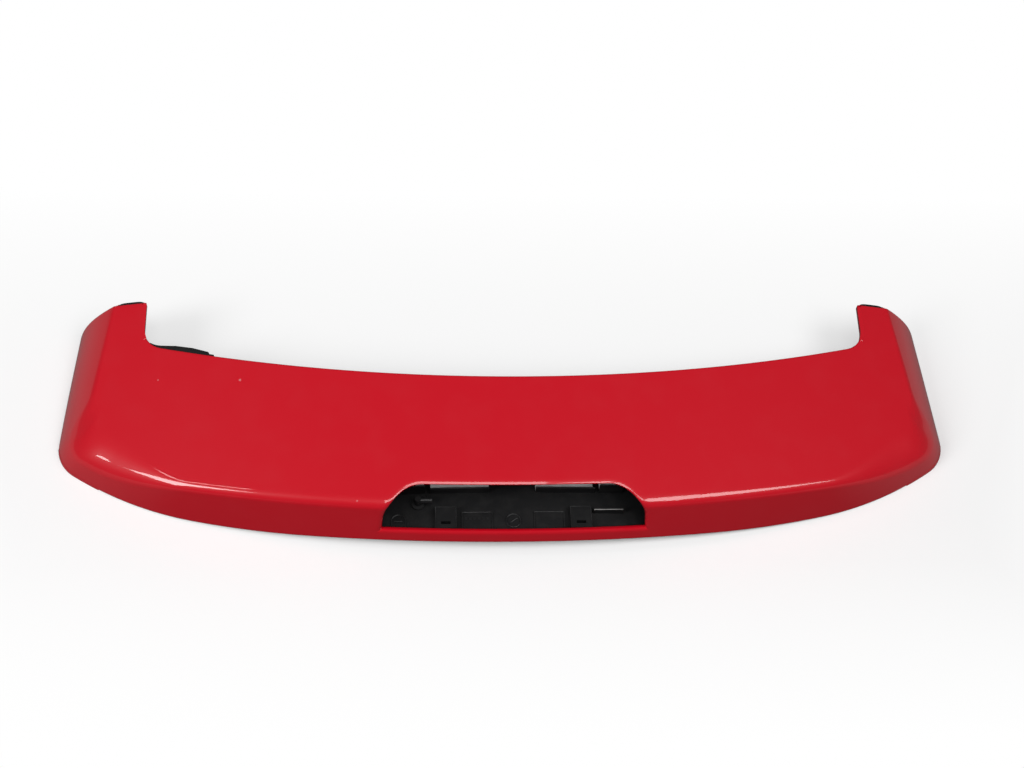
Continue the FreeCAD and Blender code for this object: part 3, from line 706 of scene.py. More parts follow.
def range_node(tree, value, low, high, to_low=0.0, to_high=1.0):
    node = tree.nodes.new("ShaderNodeMapRange")
    node.inputs["From Min"].default_value = low
    node.inputs["From Max"].default_value = high
    node.inputs["To Min"].default_value = to_low
    node.inputs["To Max"].default_value = to_high
    tree.links.new(value, node.inputs["Value"])
    return node.outputs["Result"]


def math_node(tree, operation, first, second):
    node = tree.nodes.new("ShaderNodeMath")
    node.operation = operation
    for socket, value in zip(node.inputs, (first, second)):
        if isinstance(value, (int, float)):
            socket.default_value = value
        else:
            tree.links.new(value, socket)
    return node.outputs["Value"]


def dust_group():
    """Fine settled dust and handling marks: a colour mask and a roughness that vary over the surface."""
    group, source, sink = new_group(
        "settled_dust",
        (
            ("Scale", "NodeSocketFloat", 40.0),
            ("Amount", "NodeSocketFloat", 0.2),
            ("Roughness", "NodeSocketFloat", 0.3),
        ),
        (("Mask", "NodeSocketFloat"), ("Roughness", "NodeSocketFloat")),
    )
    place = group.nodes.new("ShaderNodeTexCoord").outputs["Object"]
    cloud = noise_node(group, source.outputs["Scale"], 6.0, place)
    patch = range_node(group, cloud.outputs["Fac"], 0.45, 0.75)
    mask = math_node(group, "MULTIPLY", patch, source.outputs["Amount"])
    group.links.new(mask, sink.inputs["Mask"])
    lift = math_node(group, "MULTIPLY", mask, 0.5)
    group.links.new(math_node(group, "ADD", source.outputs["Roughness"], lift), sink.inputs["Roughness"])
    return group


def grain_group():
    """Moulded grain of black plastic and foam: a height for bump and a slight change of tone."""
    group, source, sink = new_group(
        "moulded_grain",
        (("Scale", "NodeSocketFloat", 900.0), ("Tone", "NodeSocketFloat", 0.2)),
        (("Height", "NodeSocketFloat"), ("Tone", "NodeSocketFloat")),
    )
    place = group.nodes.new("ShaderNodeTexCoord").outputs["Object"]
    cells = group.nodes.new("ShaderNodeTexVoronoi")
    group.links.new(source.outputs["Scale"], cells.inputs["Scale"])
    group.links.new(place, cells.inputs["Vector"])
    fine = noise_node(group, source.outputs["Scale"], 3.0, place)
    height = math_node(group, "ADD", cells.outputs["Distance"], fine.outputs["Fac"])
    group.links.new(height, sink.inputs["Height"])
    broad = group.nodes.new("ShaderNodeTexNoise")
    broad.inputs["Scale"].default_value = 18.0
    group.links.new(place, broad.inputs["Vector"])
    tone = range_node(group, broad.outputs["Fac"], 0.3, 0.7)
    group.links.new(math_node(group, "MULTIPLY", tone, source.outputs["Tone"]), sink.inputs["Tone"])
    return group


class Finishes:
    """Makes each finish once."""

    made = {}
    groups = {}


def group_in(tree, name, maker, values):
    """Places a shared effect in a material with its own values."""
    if name not in Finishes.groups:
        Finishes.groups[name] = maker()
    node = tree.nodes.new("ShaderNodeGroup")
    node.node_tree = Finishes.groups[name]
    for label, value in values.items():
        node.inputs[label].default_value = value
    return node


def new_material(name):
    material = bpy.data.materials.new(name)
    material.use_nodes = True
    tree = material.node_tree
    return material, tree, tree.nodes["Principled BSDF"]


def mix_colour(tree, mask, first, second):
    node = tree.nodes.new("ShaderNodeMix")
    node.data_type = "RGBA"
    for label, value in (("A", first), ("B", second)):
        socket = [item for item in node.inputs if item.name == label and item.type == "RGBA"][0]
        if isinstance(value, (tuple, list)):
            socket.default_value = (*value, 1.0)
        else:
            tree.links.new(value, socket)
    tree.links.new(mask, [item for item in node.inputs if item.name == "Factor" and item.type == "VALUE"][0])
    return [item for item in node.outputs if item.type == "RGBA"][0]


def bump_node(tree, height, strength, distance):
    node = tree.nodes.new("ShaderNodeBump")
    node.inputs["Strength"].default_value = strength
    node.inputs["Distance"].default_value = distance
    tree.links.new(height, node.inputs["Height"])
    return node.outputs["Normal"]


def paint_finish():
    """Red paint under clear coat: slight orange peel, two chips near the front edge, a painted glint on the
    ridge and light dust.
    """
    if "paint" in Finishes.made:
        return Finishes.made["paint"]
    material, tree, shader = new_material("red_paint")
    base = tuple(colours().paint)
    place = tree.nodes.new("ShaderNodeTexCoord").outputs["Object"]
    dust = group_in(tree, "dust", dust_group, {"Scale": 26.0, "Amount": 0.03, "Roughness": 0.36})
    tone = mix_colour(tree, dust.outputs["Mask"], base, tuple(0.75 * part + 0.08 for part in base))
    # Each spot mixes in the pale tone: the first two are chips, the last is a painted glint on the ridge.
    for spot, reach in CHIPS_AND_GLINT:
        away = tree.nodes.new("ShaderNodeVectorMath")
        away.operation = "DISTANCE"
        away.inputs[1].default_value = spot
        tree.links.new(place, away.inputs[0])
        ragged = tree.nodes.new("ShaderNodeTexNoise")
        ragged.inputs["Scale"].default_value = 900.0
        tree.links.new(place, ragged.inputs["Vector"])
        uneven = math_node(tree, "MULTIPLY", ragged.outputs["Fac"], reach)
        edge = math_node(tree, "ADD", away.outputs["Value"], uneven)
        mark = range_node(tree, edge, reach * 1.4, reach)
        tone = mix_colour(tree, mark, tone, CHIP_AND_GLINT_TONE)
    tree.links.new(tone, shader.inputs["Base Color"])
    tree.links.new(dust.outputs["Roughness"], shader.inputs["Roughness"])
    peel = tree.nodes.new("ShaderNodeTexNoise")
    peel.inputs["Scale"].default_value = 260.0
    tree.links.new(place, peel.inputs["Vector"])
    tree.links.new(bump_node(tree, peel.outputs["Fac"], 0.02, 0.0004), shader.inputs["Normal"])
    shader.inputs["Coat Weight"].default_value = 1.0
    shader.inputs["Coat Roughness"].default_value = 0.04
    shader.inputs["Coat IOR"].default_value = 1.5
    shader.inputs["Specular IOR Level"].default_value = 0.2
    Finishes.made["paint"] = material
    return material


def black_finish(name, base, roughness, grain, depth):
    """Black moulded plastic or foam rubber with grain."""
    if name in Finishes.made:
        return Finishes.made[name]
    material, tree, shader = new_material(name)
    effect = group_in(tree, "grain", grain_group, {"Scale": grain, "Tone": 0.35})
    dust = group_in(tree, "dust", dust_group, {"Scale": 60.0, "Amount": 0.03, "Roughness": roughness})
    worn = tuple(min(1.0, part * 1.6 + 0.002) for part in base)
    toned = mix_colour(tree, effect.outputs["Tone"], tuple(base), worn)
    dusty = mix_colour(tree, dust.outputs["Mask"], toned, (0.18, 0.17, 0.16))
    tree.links.new(dusty, shader.inputs["Base Color"])
    tree.links.new(dust.outputs["Roughness"], shader.inputs["Roughness"])
    tree.links.new(bump_node(tree, effect.outputs["Height"], 0.35, depth), shader.inputs["Normal"])
    shader.inputs["Specular IOR Level"].default_value = BLACK_SHEEN
    Finishes.made[name] = material
    return material


def painted_highlight_finish():
    """Pale grey grained over edge black: a painted highlight along a black plastic edge."""
    material, tree, shader = new_material("worn_edge")
    effect = group_in(tree, "grain", grain_group, {"Scale": 700.0, "Tone": 0.8})
    tone = mix_colour(tree, effect.outputs["Tone"], PAINTED_HIGHLIGHT_TONE, tuple(colours().edges))
    tree.links.new(tone, shader.inputs["Base Color"])
    shader.inputs["Roughness"].default_value = 0.5
    return material


def zinc_finish():
    """Zinc-plated steel with a slightly uneven passivation."""
    if "zinc" in Finishes.made:
        return Finishes.made["zinc"]
    material, tree, shader = new_material("zinc_steel")
    base = tuple(colours().zinc)
    dust = group_in(tree, "dust", dust_group, {"Scale": 90.0, "Amount": 0.3, "Roughness": 0.32})
    tone = mix_colour(tree, dust.outputs["Mask"], base, tuple(part * 0.7 for part in base))
    tree.links.new(tone, shader.inputs["Base Color"])
    tree.links.new(dust.outputs["Roughness"], shader.inputs["Roughness"])
    shader.inputs["Metallic"].default_value = 1.0
    Finishes.made["zinc"] = material
    return material


def clip_finish():
    """Natural plastic of the clips and the washer elbow."""
    if "clip" in Finishes.made:
        return Finishes.made["clip"]
    material, tree, shader = new_material("clip_plastic")
    base = tuple(colours().clip)
    dust = group_in(tree, "dust", dust_group, {"Scale": 120.0, "Amount": 0.35, "Roughness": 0.42})
    tone = mix_colour(tree, dust.outputs["Mask"], base, tuple(part * 0.6 for part in base))
    tree.links.new(tone, shader.inputs["Base Color"])
    tree.links.new(dust.outputs["Roughness"], shader.inputs["Roughness"])
    shader.inputs["Subsurface Weight"].default_value = 0.1
    Finishes.made["clip"] = material
    return material


def dress(node, material):
    """Gives a CAD node's object its finish."""
    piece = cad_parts[node]
    piece.data.materials.clear()
    piece.data.materials.append(material)


def add_piece(name, mesh, material, slot, *nodes):
    """Links a finished mesh to the scene, rides it on the part and lets it stand for its CAD nodes."""
    piece = bpy.data.objects.new(name, mesh)
    bpy.context.scene.collection.objects.link(piece)
    mesh.materials.clear()
    mesh.materials.append(material)
    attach(piece, "root")
    if nodes:
        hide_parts(*nodes)
    return piece


# Seals, swept along the skin's front edges

SEAL_DROP = 0.0012
SEAL_HEIGHT = 0.0085
SEAL_BEND = 0.0022
SEAL_STEPS = 4
TIP_SEAL_START = 0.003
TIP_SEAL_LENGTH = 0.034
TIP_SEAL_PROUD = 0.0034
EDGE_SEAL_FROM = 0.384
EDGE_SEAL_RUN = 0.089
EDGE_SEAL_SHAPE = (
    (0.0, 0.0025),
    (0.07, 0.0027),
    (0.09, 0.006),
    (0.35, 0.0085),
    (0.6, 0.0078),
    (0.85, 0.0042),
    (1.0, 0.0006),
)


def closed_mesh(name, points, faces, angle):
    """A mesh whose faces point outwards, smooth but for its sharp edges."""
    mesh = bpy.data.meshes.new(name)
    mesh.from_pydata([tuple(point) for point in points], [], faces)
    work = bmesh.new()
    work.from_mesh(mesh)
    bmesh.ops.recalc_face_normals(work, faces=work.faces)
    work.to_mesh(mesh)
    work.free()
    finish_edges(mesh, angle)
    return mesh


def lofted(sections, closed):
    """Points and faces through a run of equal sections, capped unless the run is closed."""
    width = len(sections[0])
    points = [point for section in sections for point in section]
    count = len(sections)
    faces = []
    for i in range(count if closed else count - 1):
        below = i * width
        above = (i + 1) % count * width
        for j in range(width):
            k = (j + 1) % width
            faces.append((below + j, below + k, above + k, above + j))
    if not closed:
        faces.append(tuple(range(width)))
        faces.append(tuple(range((count - 1) * width, count * width)))
    return points, faces


def strip_section(place, away, proud, height, bend):
    """Section of a rubber strip: flat against the skin, rounded on its outer side."""
    bend = min(bend, proud / 2)
    outline = [(0.0, 0.0)]
    for level, begin in ((-bend, 90.0), (bend - height, 0.0)):
        for step in range(SEAL_STEPS + 1):
            angle = math.radians(begin - 90.0 * step / SEAL_STEPS)
            outline.append((proud - bend + bend * math.cos(angle), level + bend * math.sin(angle)))
    outline.append((0.0, -height))
    return [place + away * out + np.array([0.0, 0.0, up]) for out, up in outline]


def tip_seal(form, side):
    """Domed strip on the front face of one horn tip."""
    s = form.s
    sections = []
    for share in np.linspace(0.0, 1.0, 25):
        x = s.horn_gap / 2 + TIP_SEAL_START + TIP_SEAL_LENGTH * share
        proud = TIP_SEAL_PROUD * (1.0 - abs(2.0 * share - 1.0) ** 5) + 0.0004
        place = np.array([side * x, s.horn_depth + form.shift, form.roof(x, s.horn_depth) - SEAL_DROP])
        sections.append(strip_section(place, np.array([0.0, 1.0, 0.0]), proud, SEAL_HEIGHT, SEAL_BEND))
    return lofted(sections, False)


def edge_seal(form):
    """Crescent strip with a stepped end, on the left end of the front edge."""
    stops = np.array(EDGE_SEAL_SHAPE)
    sections = []
    for share in np.linspace(0.0, 1.0, 61):
        plan = form.front_point(EDGE_SEAL_RUN * share, EDGE_SEAL_FROM)
        ahead = form.front_point(EDGE_SEAL_RUN * share + 0.0005, EDGE_SEAL_FROM) - plan
        away = unit(np.array([ahead[1], ahead[0], 0.0]))
        place = np.array([-plan[0], plan[1] + form.shift, form.roof(*plan) - SEAL_DROP])
        proud = np.interp(share, stops[:, 0], stops[:, 1])
        sections.append(strip_section(place, away, proud, SEAL_HEIGHT, SEAL_BEND))
    return lofted(sections, False)


# Marks moulded on the lamp tray

TRAY_FLOOR = 0.0064
MARK_DEPTH = 0.033
MARK_OFFSET = 0.046
MARK_HALF = (0.0192, 0.0122)
MARK_TOP = 0.0012
CORD_RADIUS = 0.0007
CORD_SIDES = 8
RING_RADIUS = 0.0092
HAND_ANGLE = math.radians(35.0)
HAND_STOPS = (-0.6, 0.2, 1.0)
POCKET_PLACE = (-0.146, 0.03)
POCKET_HALF = 0.009
POCKET_LENGTH = 0.02
LATCH_OFFSET = 0.086
LATCH_HALF = 0.0132
LATCH_TOP = 0.009
LATCH_ENDS = (0.0205, 0.0495)
BAR_ENDS = (0.1035, 0.1405)
BAR_PLACE = (0.046, 0.0102)
BAR_SETBACK = 0.0012
RIM_DEPTH = 0.0745
RIM_ENDS = (0.030, 0.106)
RIM_OUTER_ENDS = (0.112, 0.142)
RIM_HEIGHTS = (0.0145, 0.0225)
RIM_THICKNESS = 0.0022


def tray_point(form, x, depth, lift):
    """A point over the tray floor, which follows the arch of the lower edge."""
    return np.array([x, depth + form.shift, form.arch(x) + TRAY_FLOOR + lift])


def cord(path, closed):
    """A thin raised line along a path."""
    sections = []
    count = len(path)
    for i, place in enumerate(path):
        before = path[i - 1] if closed or i else place
        after = path[(i + 1) % count] if closed or i < count - 1 else place
        along = unit(after - before)
        side = unit(np.cross(along, np.array([0.0, 0.0, 1.0])))
        up = np.cross(side, along)
        ring = []
        for step in range(CORD_SIDES):
            angle = 2 * math.pi * step / CORD_SIDES
            ring.append(place + side * CORD_RADIUS * math.cos(angle) + up * CORD_RADIUS * math.sin(angle))
        sections.append(ring)
    return lofted(sections, closed)


def rounded_rectangle(x, y, half, bend):
    """Plan points of a rectangle with rounded corners."""
    made = []
    for turn, (sx, sy) in enumerate(((1, 1), (-1, 1), (-1, -1), (1, -1))):
        for step in range(4):
            angle = math.pi / 2 * (turn + step / 3)
            across = x + sx * (half[0] - bend) + bend * math.cos(angle)
            along = y + sy * (half[1] - bend) + bend * math.sin(angle)
            made.append((across, along))
    return made


def tray_marks(form):
    """Frames, ring with its hand, pocket and latch edges as one set of raised lines."""
    lines = []
    for side in (-1, 1):
        frame_line = rounded_rectangle(side * MARK_OFFSET, MARK_DEPTH, MARK_HALF, 0.0015)
        lines.append(([tray_point(form, x, y, MARK_TOP) for x, y in frame_line], True))
        x = side * LATCH_OFFSET
        near, deep = LATCH_ENDS
        left, right = x - LATCH_HALF, x + LATCH_HALF
        edge = [(left, near), (left, deep), (right, deep), (right, near)]
        level = tray_point(form, x, 0.0, LATCH_TOP)[2]
        lines.append(([np.array([px, py + form.shift, level]) for px, py in edge], False))
    turns = np.linspace(0.0, 2 * math.pi, 33)[:-1]
    ring = [(RING_RADIUS * math.cos(a), MARK_DEPTH + RING_RADIUS * math.sin(a)) for a in turns]
    lines.append(([tray_point(form, x, y, MARK_TOP) for x, y in ring], True))
    reach = RING_RADIUS * 0.7
    lean = reach * math.cos(HAND_ANGLE), reach * math.sin(HAND_ANGLE)
    hand = [(k * lean[0], MARK_DEPTH + k * lean[1]) for k in HAND_STOPS]
    lines.append(([tray_point(form, x, y, 0.0006) for x, y in hand], False))
    x, y = POCKET_PLACE
    arch = [(x - POCKET_HALF, y - POCKET_LENGTH / 2)]
    for angle in np.linspace(math.pi, 0.0, 13):
        across = x + POCKET_HALF * math.cos(angle)
        arch.append((across, y + POCKET_LENGTH / 4 + POCKET_HALF * math.sin(angle)))
    arch.append((x + POCKET_HALF, y - POCKET_LENGTH / 2))
    lines.append(([tray_point(form, px, py, 0.0006) for px, py in arch], False))
    for level in (0.0, 0.45):
        shelf = [(x + POCKET_HALF * k, y + POCKET_LENGTH * (level - 0.2)) for k in (-0.55, 0.0, 0.55)]
        lines.append(([tray_point(form, px, py, 0.0006) for px, py in shelf], False))
    return join_pieces([cord(path, closed) for path, closed in lines])


def join_pieces(pieces):
    points, faces = [], []
    for more_points, more_faces in pieces:
        faces += [tuple(index + len(points) for index in face) for face in more_faces]
        points += list(more_points)
    return points, faces


def stop_edge(form):
    """The stop bar's top edge as a pale cord: a painted highlight."""
    depth, lift = BAR_PLACE
    level = tray_point(form, sum(BAR_ENDS) / 2, 0.0, lift)[2]
    run = np.linspace(*BAR_ENDS, 9)
    return cord([np.array([x, depth + form.shift - BAR_SETBACK, level]) for x in run], False)


def window_rims(form):
    """Low walls along the rear edges of the carrier's windows."""
    pieces = []
    for ends, height in zip((RIM_ENDS, RIM_OUTER_ENDS), RIM_HEIGHTS):
        for side in (-1, 1):
            sections = []
            for x in np.linspace(*ends, 9):
                foot = tray_point(form, side * x, RIM_DEPTH, -0.001)
                wide = np.array([0.0, RIM_THICKNESS / 2, 0.0])
                tall = np.array([0.0, 0.0, height])
                soft = np.array([0.0, 0.0, RIM_THICKNESS / 3])
                shoulder = foot + tall - soft
                sections.append([foot - wide, shoulder - wide, foot + tall, shoulder + wide, foot + wide])
            pieces.append(lofted(sections, False))
    return join_pieces(pieces)


# Details that repeat, by geometry nodes

SQUARE_COUNT = 6
SQUARE_STEP = 0.0055
SQUARE_SIZE = (0.003, 0.003, 0.0016)
SQUARE_DEPTH = 0.037
THREAD_COUNT = 14
THREAD_PITCH = 0.001
THREAD_TOP = 0.0202
THREAD_RADII = (0.00325, 0.0028)
STUD_SPACING = (0.66, 0.052)
STUD_MIDDLE = -0.07718


def geometry_tree(name, inputs):
    """An empty geometry tree with named inputs that ends in Realize Instances and Set Material."""
    tree = bpy.data.node_groups.new(name, "GeometryNodeTree")
    for label, kind in (*inputs, ("Material", "NodeSocketMaterial")):
        tree.interface.new_socket(label, in_out="INPUT", socket_type=kind)
    tree.interface.new_socket("Geometry", in_out="OUTPUT", socket_type="NodeSocketGeometry")
    given = tree.nodes.new("NodeGroupInput")
    out = tree.nodes.new("NodeGroupOutput")
    real = tree.nodes.new("GeometryNodeRealizeInstances")
    dressed = tree.nodes.new("GeometryNodeSetMaterial")
    tree.links.new(real.outputs["Geometry"], dressed.inputs["Geometry"])
    tree.links.new(given.outputs["Material"], dressed.inputs["Material"])
    tree.links.new(dressed.outputs["Geometry"], out.inputs["Geometry"])
    return tree, given, real


def instances(tree, points, shape):
    spread = tree.nodes.new("GeometryNodeInstanceOnPoints")
    tree.links.new(points, spread.inputs["Points"])
    tree.links.new(shape, spread.inputs["Instance"])
    return spread.outputs["Instances"]


def line_of_points(tree, given):
    line = tree.nodes.new("GeometryNodeMeshLine")
    for label, socket in (("Count", "Count"), ("Start", "Start Location"), ("Step", "Offset")):
        tree.links.new(given.outputs[label], line.inputs[socket])
    return line.outputs["Mesh"]


LINE_INPUTS = (("Count", "NodeSocketInt"), ("Start", "NodeSocketVector"), ("Step", "NodeSocketVector"))


def square_tree():
    """A row of small boxes."""
    tree, given, real = geometry_tree("row_of_squares", (*LINE_INPUTS, ("Size", "NodeSocketVector")))
    box = tree.nodes.new("GeometryNodeMeshCube")
    tree.links.new(given.outputs["Size"], box.inputs["Size"])
    row = instances(tree, line_of_points(tree, given), box.outputs["Mesh"])
    tree.links.new(row, real.inputs["Geometry"])
    return tree


def thread_tree():
    """Thread ridges down each stud of a rectangular pattern."""
    more = (("Across", "NodeSocketFloat"), ("Along", "NodeSocketFloat"), ("Crest", "NodeSocketFloat"))
    inputs = (*LINE_INPUTS, *more, ("Root", "NodeSocketFloat"), ("Half Pitch", "NodeSocketFloat"))
    tree, given, real = geometry_tree("stud_threads", inputs)
    pattern = tree.nodes.new("GeometryNodeMeshGrid")
    pattern.inputs["Vertices X"].default_value = 2
    pattern.inputs["Vertices Y"].default_value = 2
    tree.links.new(given.outputs["Across"], pattern.inputs["Size X"])
    tree.links.new(given.outputs["Along"], pattern.inputs["Size Y"])
    flanks = tree.nodes.new("GeometryNodeJoinGeometry")
    for top, bottom in (("Root", "Crest"), ("Crest", "Root")):
        cone = tree.nodes.new("GeometryNodeMeshCone")
        cone.inputs["Vertices"].default_value = 24
        tree.links.new(given.outputs[top], cone.inputs["Radius Top"])
        tree.links.new(given.outputs[bottom], cone.inputs["Radius Bottom"])
        tree.links.new(given.outputs["Half Pitch"], cone.inputs["Depth"])
        moved = tree.nodes.new("GeometryNodeTransform")
        tree.links.new(cone.outputs["Mesh"], moved.inputs["Geometry"])
        if top == "Crest":
            under = tree.nodes.new("ShaderNodeCombineXYZ")
            drop = math_node(tree, "MULTIPLY", given.outputs["Half Pitch"], -1.0)
            tree.links.new(drop, under.inputs["Z"])
            tree.links.new(under.outputs["Vector"], moved.inputs["Translation"])
        tree.links.new(moved.outputs["Geometry"], flanks.inputs["Geometry"])
    ridges = instances(tree, line_of_points(tree, given), flanks.outputs["Geometry"])
    tree.links.new(instances(tree, pattern.outputs["Mesh"], ridges), real.inputs["Geometry"])
    return tree


def grown(name, tree, values):
    """Mesh that a geometry tree makes from named values; the modifier goes with its carrier object."""
    carrier = bpy.data.objects.new(name, bpy.data.meshes.new(f"{name}_seed"))
    bpy.context.scene.collection.objects.link(carrier)
    modifier = carrier.modifiers.new(name, "NODES")
    modifier.node_group = tree
    for socket in tree.interface.items_tree:
        if socket.in_out == "INPUT":
            modifier[socket.identifier] = values[socket.name]
    carrier.update_tag()
    mesh = bpy.data.meshes.new_from_object(carrier.evaluated_get(bpy.context.evaluated_depsgraph_get()))
    bpy.data.objects.remove(carrier)
    return mesh


def tray_squares(form, finish):
    start = tray_point(form, -MARK_OFFSET - SQUARE_STEP * (SQUARE_COUNT - 1) / 2, SQUARE_DEPTH, 0.0)
    values = {"Count": SQUARE_COUNT, "Start": tuple(start), "Step": (SQUARE_STEP, 0.0, 0.0)}
    values.update({"Size": SQUARE_SIZE, "Material": finish})
    return grown("tray_squares", square_tree(), values)


def stud_threads(finish):
    values = {"Count": THREAD_COUNT, "Step": (0.0, 0.0, -THREAD_PITCH)}
    values["Start"] = (0.0, STUD_MIDDLE, THREAD_TOP)
    values.update({"Across": STUD_SPACING[0], "Along": STUD_SPACING[1], "Half Pitch": THREAD_PITCH / 2})
    values.update({"Crest": THREAD_RADII[0], "Root": THREAD_RADII[1], "Material": finish})
    return grown("stud_threads", thread_tree(), values)


# Operators


class SPOILER_OT_skin(bpy.types.Operator):
    """Build the painted skin with its lip, flanges and lamp aperture"""

    bl_idname = "spoiler.skin"
    bl_label = "Painted skin"

    def execute(self, context):
        form = SkinForm(sizes())
        points, faces = build_skin_half(form)
        mesh = mirrored_mesh("painted_skin", points, faces)
        finish_edges(mesh, math.radians(42))
        piece = add_piece("painted_skin", mesh, paint_finish(), "red_paint", "outer_skin")
        wall = piece.modifiers.new("wall", "SOLIDIFY")
        wall.thickness = sizes().skin_wall
        wall.offset = -1.0
        wall.use_even_offset = False
        return {"FINISHED"}


class SPOILER_OT_carrier(bpy.types.Operator):
    """Finish the black carrier and its adhesive"""

    bl_idname = "spoiler.carrier"
    bl_label = "Carrier"

    def execute(self, context):
        matte = black_finish("black_carrier", colours().carrier, 0.5, 900.0, 0.0003)
        dress("lower_carrier", matte)
        adhesive = black_finish("adhesive", colours().seal, 0.4, 300.0, 0.0002)
        for node in ("bond_bead_rear", "bond_bead_front"):
            dress(node, adhesive)
        form = SkinForm(sizes())
        satin = black_finish("carrier_edges", colours().edges, 0.35, 900.0, 0.0001)
        for name, made, finish in (
            ("tray_marks", tray_marks(form), satin),
            # The stop bar's pale edge cord carries a painted highlight.
            ("stop_edge", stop_edge(form), painted_highlight_finish()),
            ("window_rims", window_rims(form), matte),
        ):
            add_piece(name, closed_mesh(name, *made, math.radians(40)), finish, "black_carrier")
        add_piece("tray_squares", tray_squares(form, satin), satin, "black_carrier")
        return {"FINISHED"}


class SPOILER_OT_seals(bpy.types.Operator):
    """Finish the horn tip seals, the front edge seal, foam rings and the grommet"""

    bl_idname = "spoiler.seals"
    bl_label = "Seals"

    def execute(self, context):
        foam = black_finish("seal_rubber", colours().seal, 0.75, 1400.0, 0.0004)
        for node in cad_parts:
            if node.startswith("stud_seal") or node == "washer_grommet":
                dress(node, foam)
        form = SkinForm(sizes())
        for name, made in (
            ("horn_tip_seal_left", tip_seal(form, -1)),
            ("horn_tip_seal_right", tip_seal(form, 1)),
            ("front_edge_seal", edge_seal(form)),
        ):
            add_piece(f"{name}_strip", closed_mesh(name, *made, math.radians(50)), foam, "seal_rubber", name)
        return {"FINISHED"}


class SPOILER_OT_fasteners(bpy.types.Operator):
    """Finish the studs, clips and the washer elbow"""

    bl_idname = "spoiler.fasteners"
    bl_label = "Studs and clips"

    def execute(self, context):
        plated = zinc_finish()
        dress("mounting_studs", plated)
        threads = stud_threads(plated)
        finish_edges(threads, math.radians(25))
        add_piece("stud_threads", threads, plated, "zinc_steel")
        for node in ("horn_clip_left", "horn_clip_right"):
            dress(node, clip_finish())
        dress("washer_elbow", black_finish("elbow_plastic", colours().edges, 0.25, 900.0, 0.0001))
        return {"FINISHED"}


# Studio

CAMERA_ELEVATION = math.radians(60.0)
CAMERA_DISTANCE = 1.9
CAMERA_YAW = math.radians(-7.55)
CAMERA_ROLL = math.radians(6.39)
CAMERA_AIM = Vector((0.0, 0.0108, 0.0))
FOCAL_PIXELS = 1414.8
PRINCIPAL_POINT = (507.9, 433.3)
PHOTO_SIZE = (1024, 768)
SENSOR = 36.0
# Floor tones seen only by bounced and mirrored rays: painted reflection, dark grey in the middle and lighter
# grey to the sides.
FLOOR_MIDDLE_REFLECTION = (0.06, 0.06, 0.06)
FLOOR_SIDE_REFLECTION = (0.27, 0.27, 0.27)
FLOOR_ASIDE = (0.45, 0.68)
FLOOR_MIRRORED = 0.02
FLOOR_FAR = (-0.12, 0.42)
FLOOR_OUTER = (("X", (0.62, 0.85)), ("Y", (0.18, 0.42)))
WORLD_LIGHT = 0.1
LAMPS = (
    ("left_window", (-2.85, -1.5, 2.65), (1.25, 1.9), 88.0),
    ("left_panel", (-2.1, 0.4, 3.5), (0.22, 0.9), 6.0),
    ("right_window", (1.75, -1.25, 3.3), (2.2, 1.6), 74.0),
    ("overhead", (0.0, -1.4, 3.4), (1.0, 1.6), 28.0),
)


def make_camera():
    """Camera at the photograph's angle: high over the trailing edge, a little to the left, rolled level."""
    right = Vector((math.cos(CAMERA_YAW), math.sin(CAMERA_YAW), 0.0))
    level = Vector((-math.sin(CAMERA_YAW), math.cos(CAMERA_YAW), 0.0))
    up = level * math.sin(CAMERA_ELEVATION) + Vector((0, 0, math.cos(CAMERA_ELEVATION)))
    back = right.cross(up)
    turned_right = right * math.cos(CAMERA_ROLL) + up * math.sin(CAMERA_ROLL)
    turned_up = up * math.cos(CAMERA_ROLL) - right * math.sin(CAMERA_ROLL)
    data = bpy.data.cameras.new("camera")
    data.sensor_width = SENSOR
    data.lens = FOCAL_PIXELS / PHOTO_SIZE[0] * SENSOR
    data.shift_x = (PHOTO_SIZE[0] / 2 - PRINCIPAL_POINT[0]) / PHOTO_SIZE[0]
    data.shift_y = (PRINCIPAL_POINT[1] - PHOTO_SIZE[1] / 2) / PHOTO_SIZE[0]
    data.clip_end = 100.0
    camera = bpy.data.objects.new("camera", data)
    bpy.context.scene.collection.objects.link(camera)
    turn = Matrix((turned_right, turned_up, back)).transposed().to_4x4()
    camera.matrix_world = Matrix.Translation(CAMERA_AIM + back * CAMERA_DISTANCE) @ turn
    bpy.context.scene.camera = camera


def area_light(name, place, aim, size, power):
    data = bpy.data.lights.new(name, "AREA")
    data.shape = "RECTANGLE"
    data.size, data.size_y = size
    data.energy = power
    lamp = bpy.data.objects.new(name, data)
    bpy.context.scene.collection.objects.link(lamp)
    lamp.location = place
    lamp.rotation_euler = (Vector(aim) - Vector(place)).to_track_quat("-Z", "Y").to_euler()
    return lamp


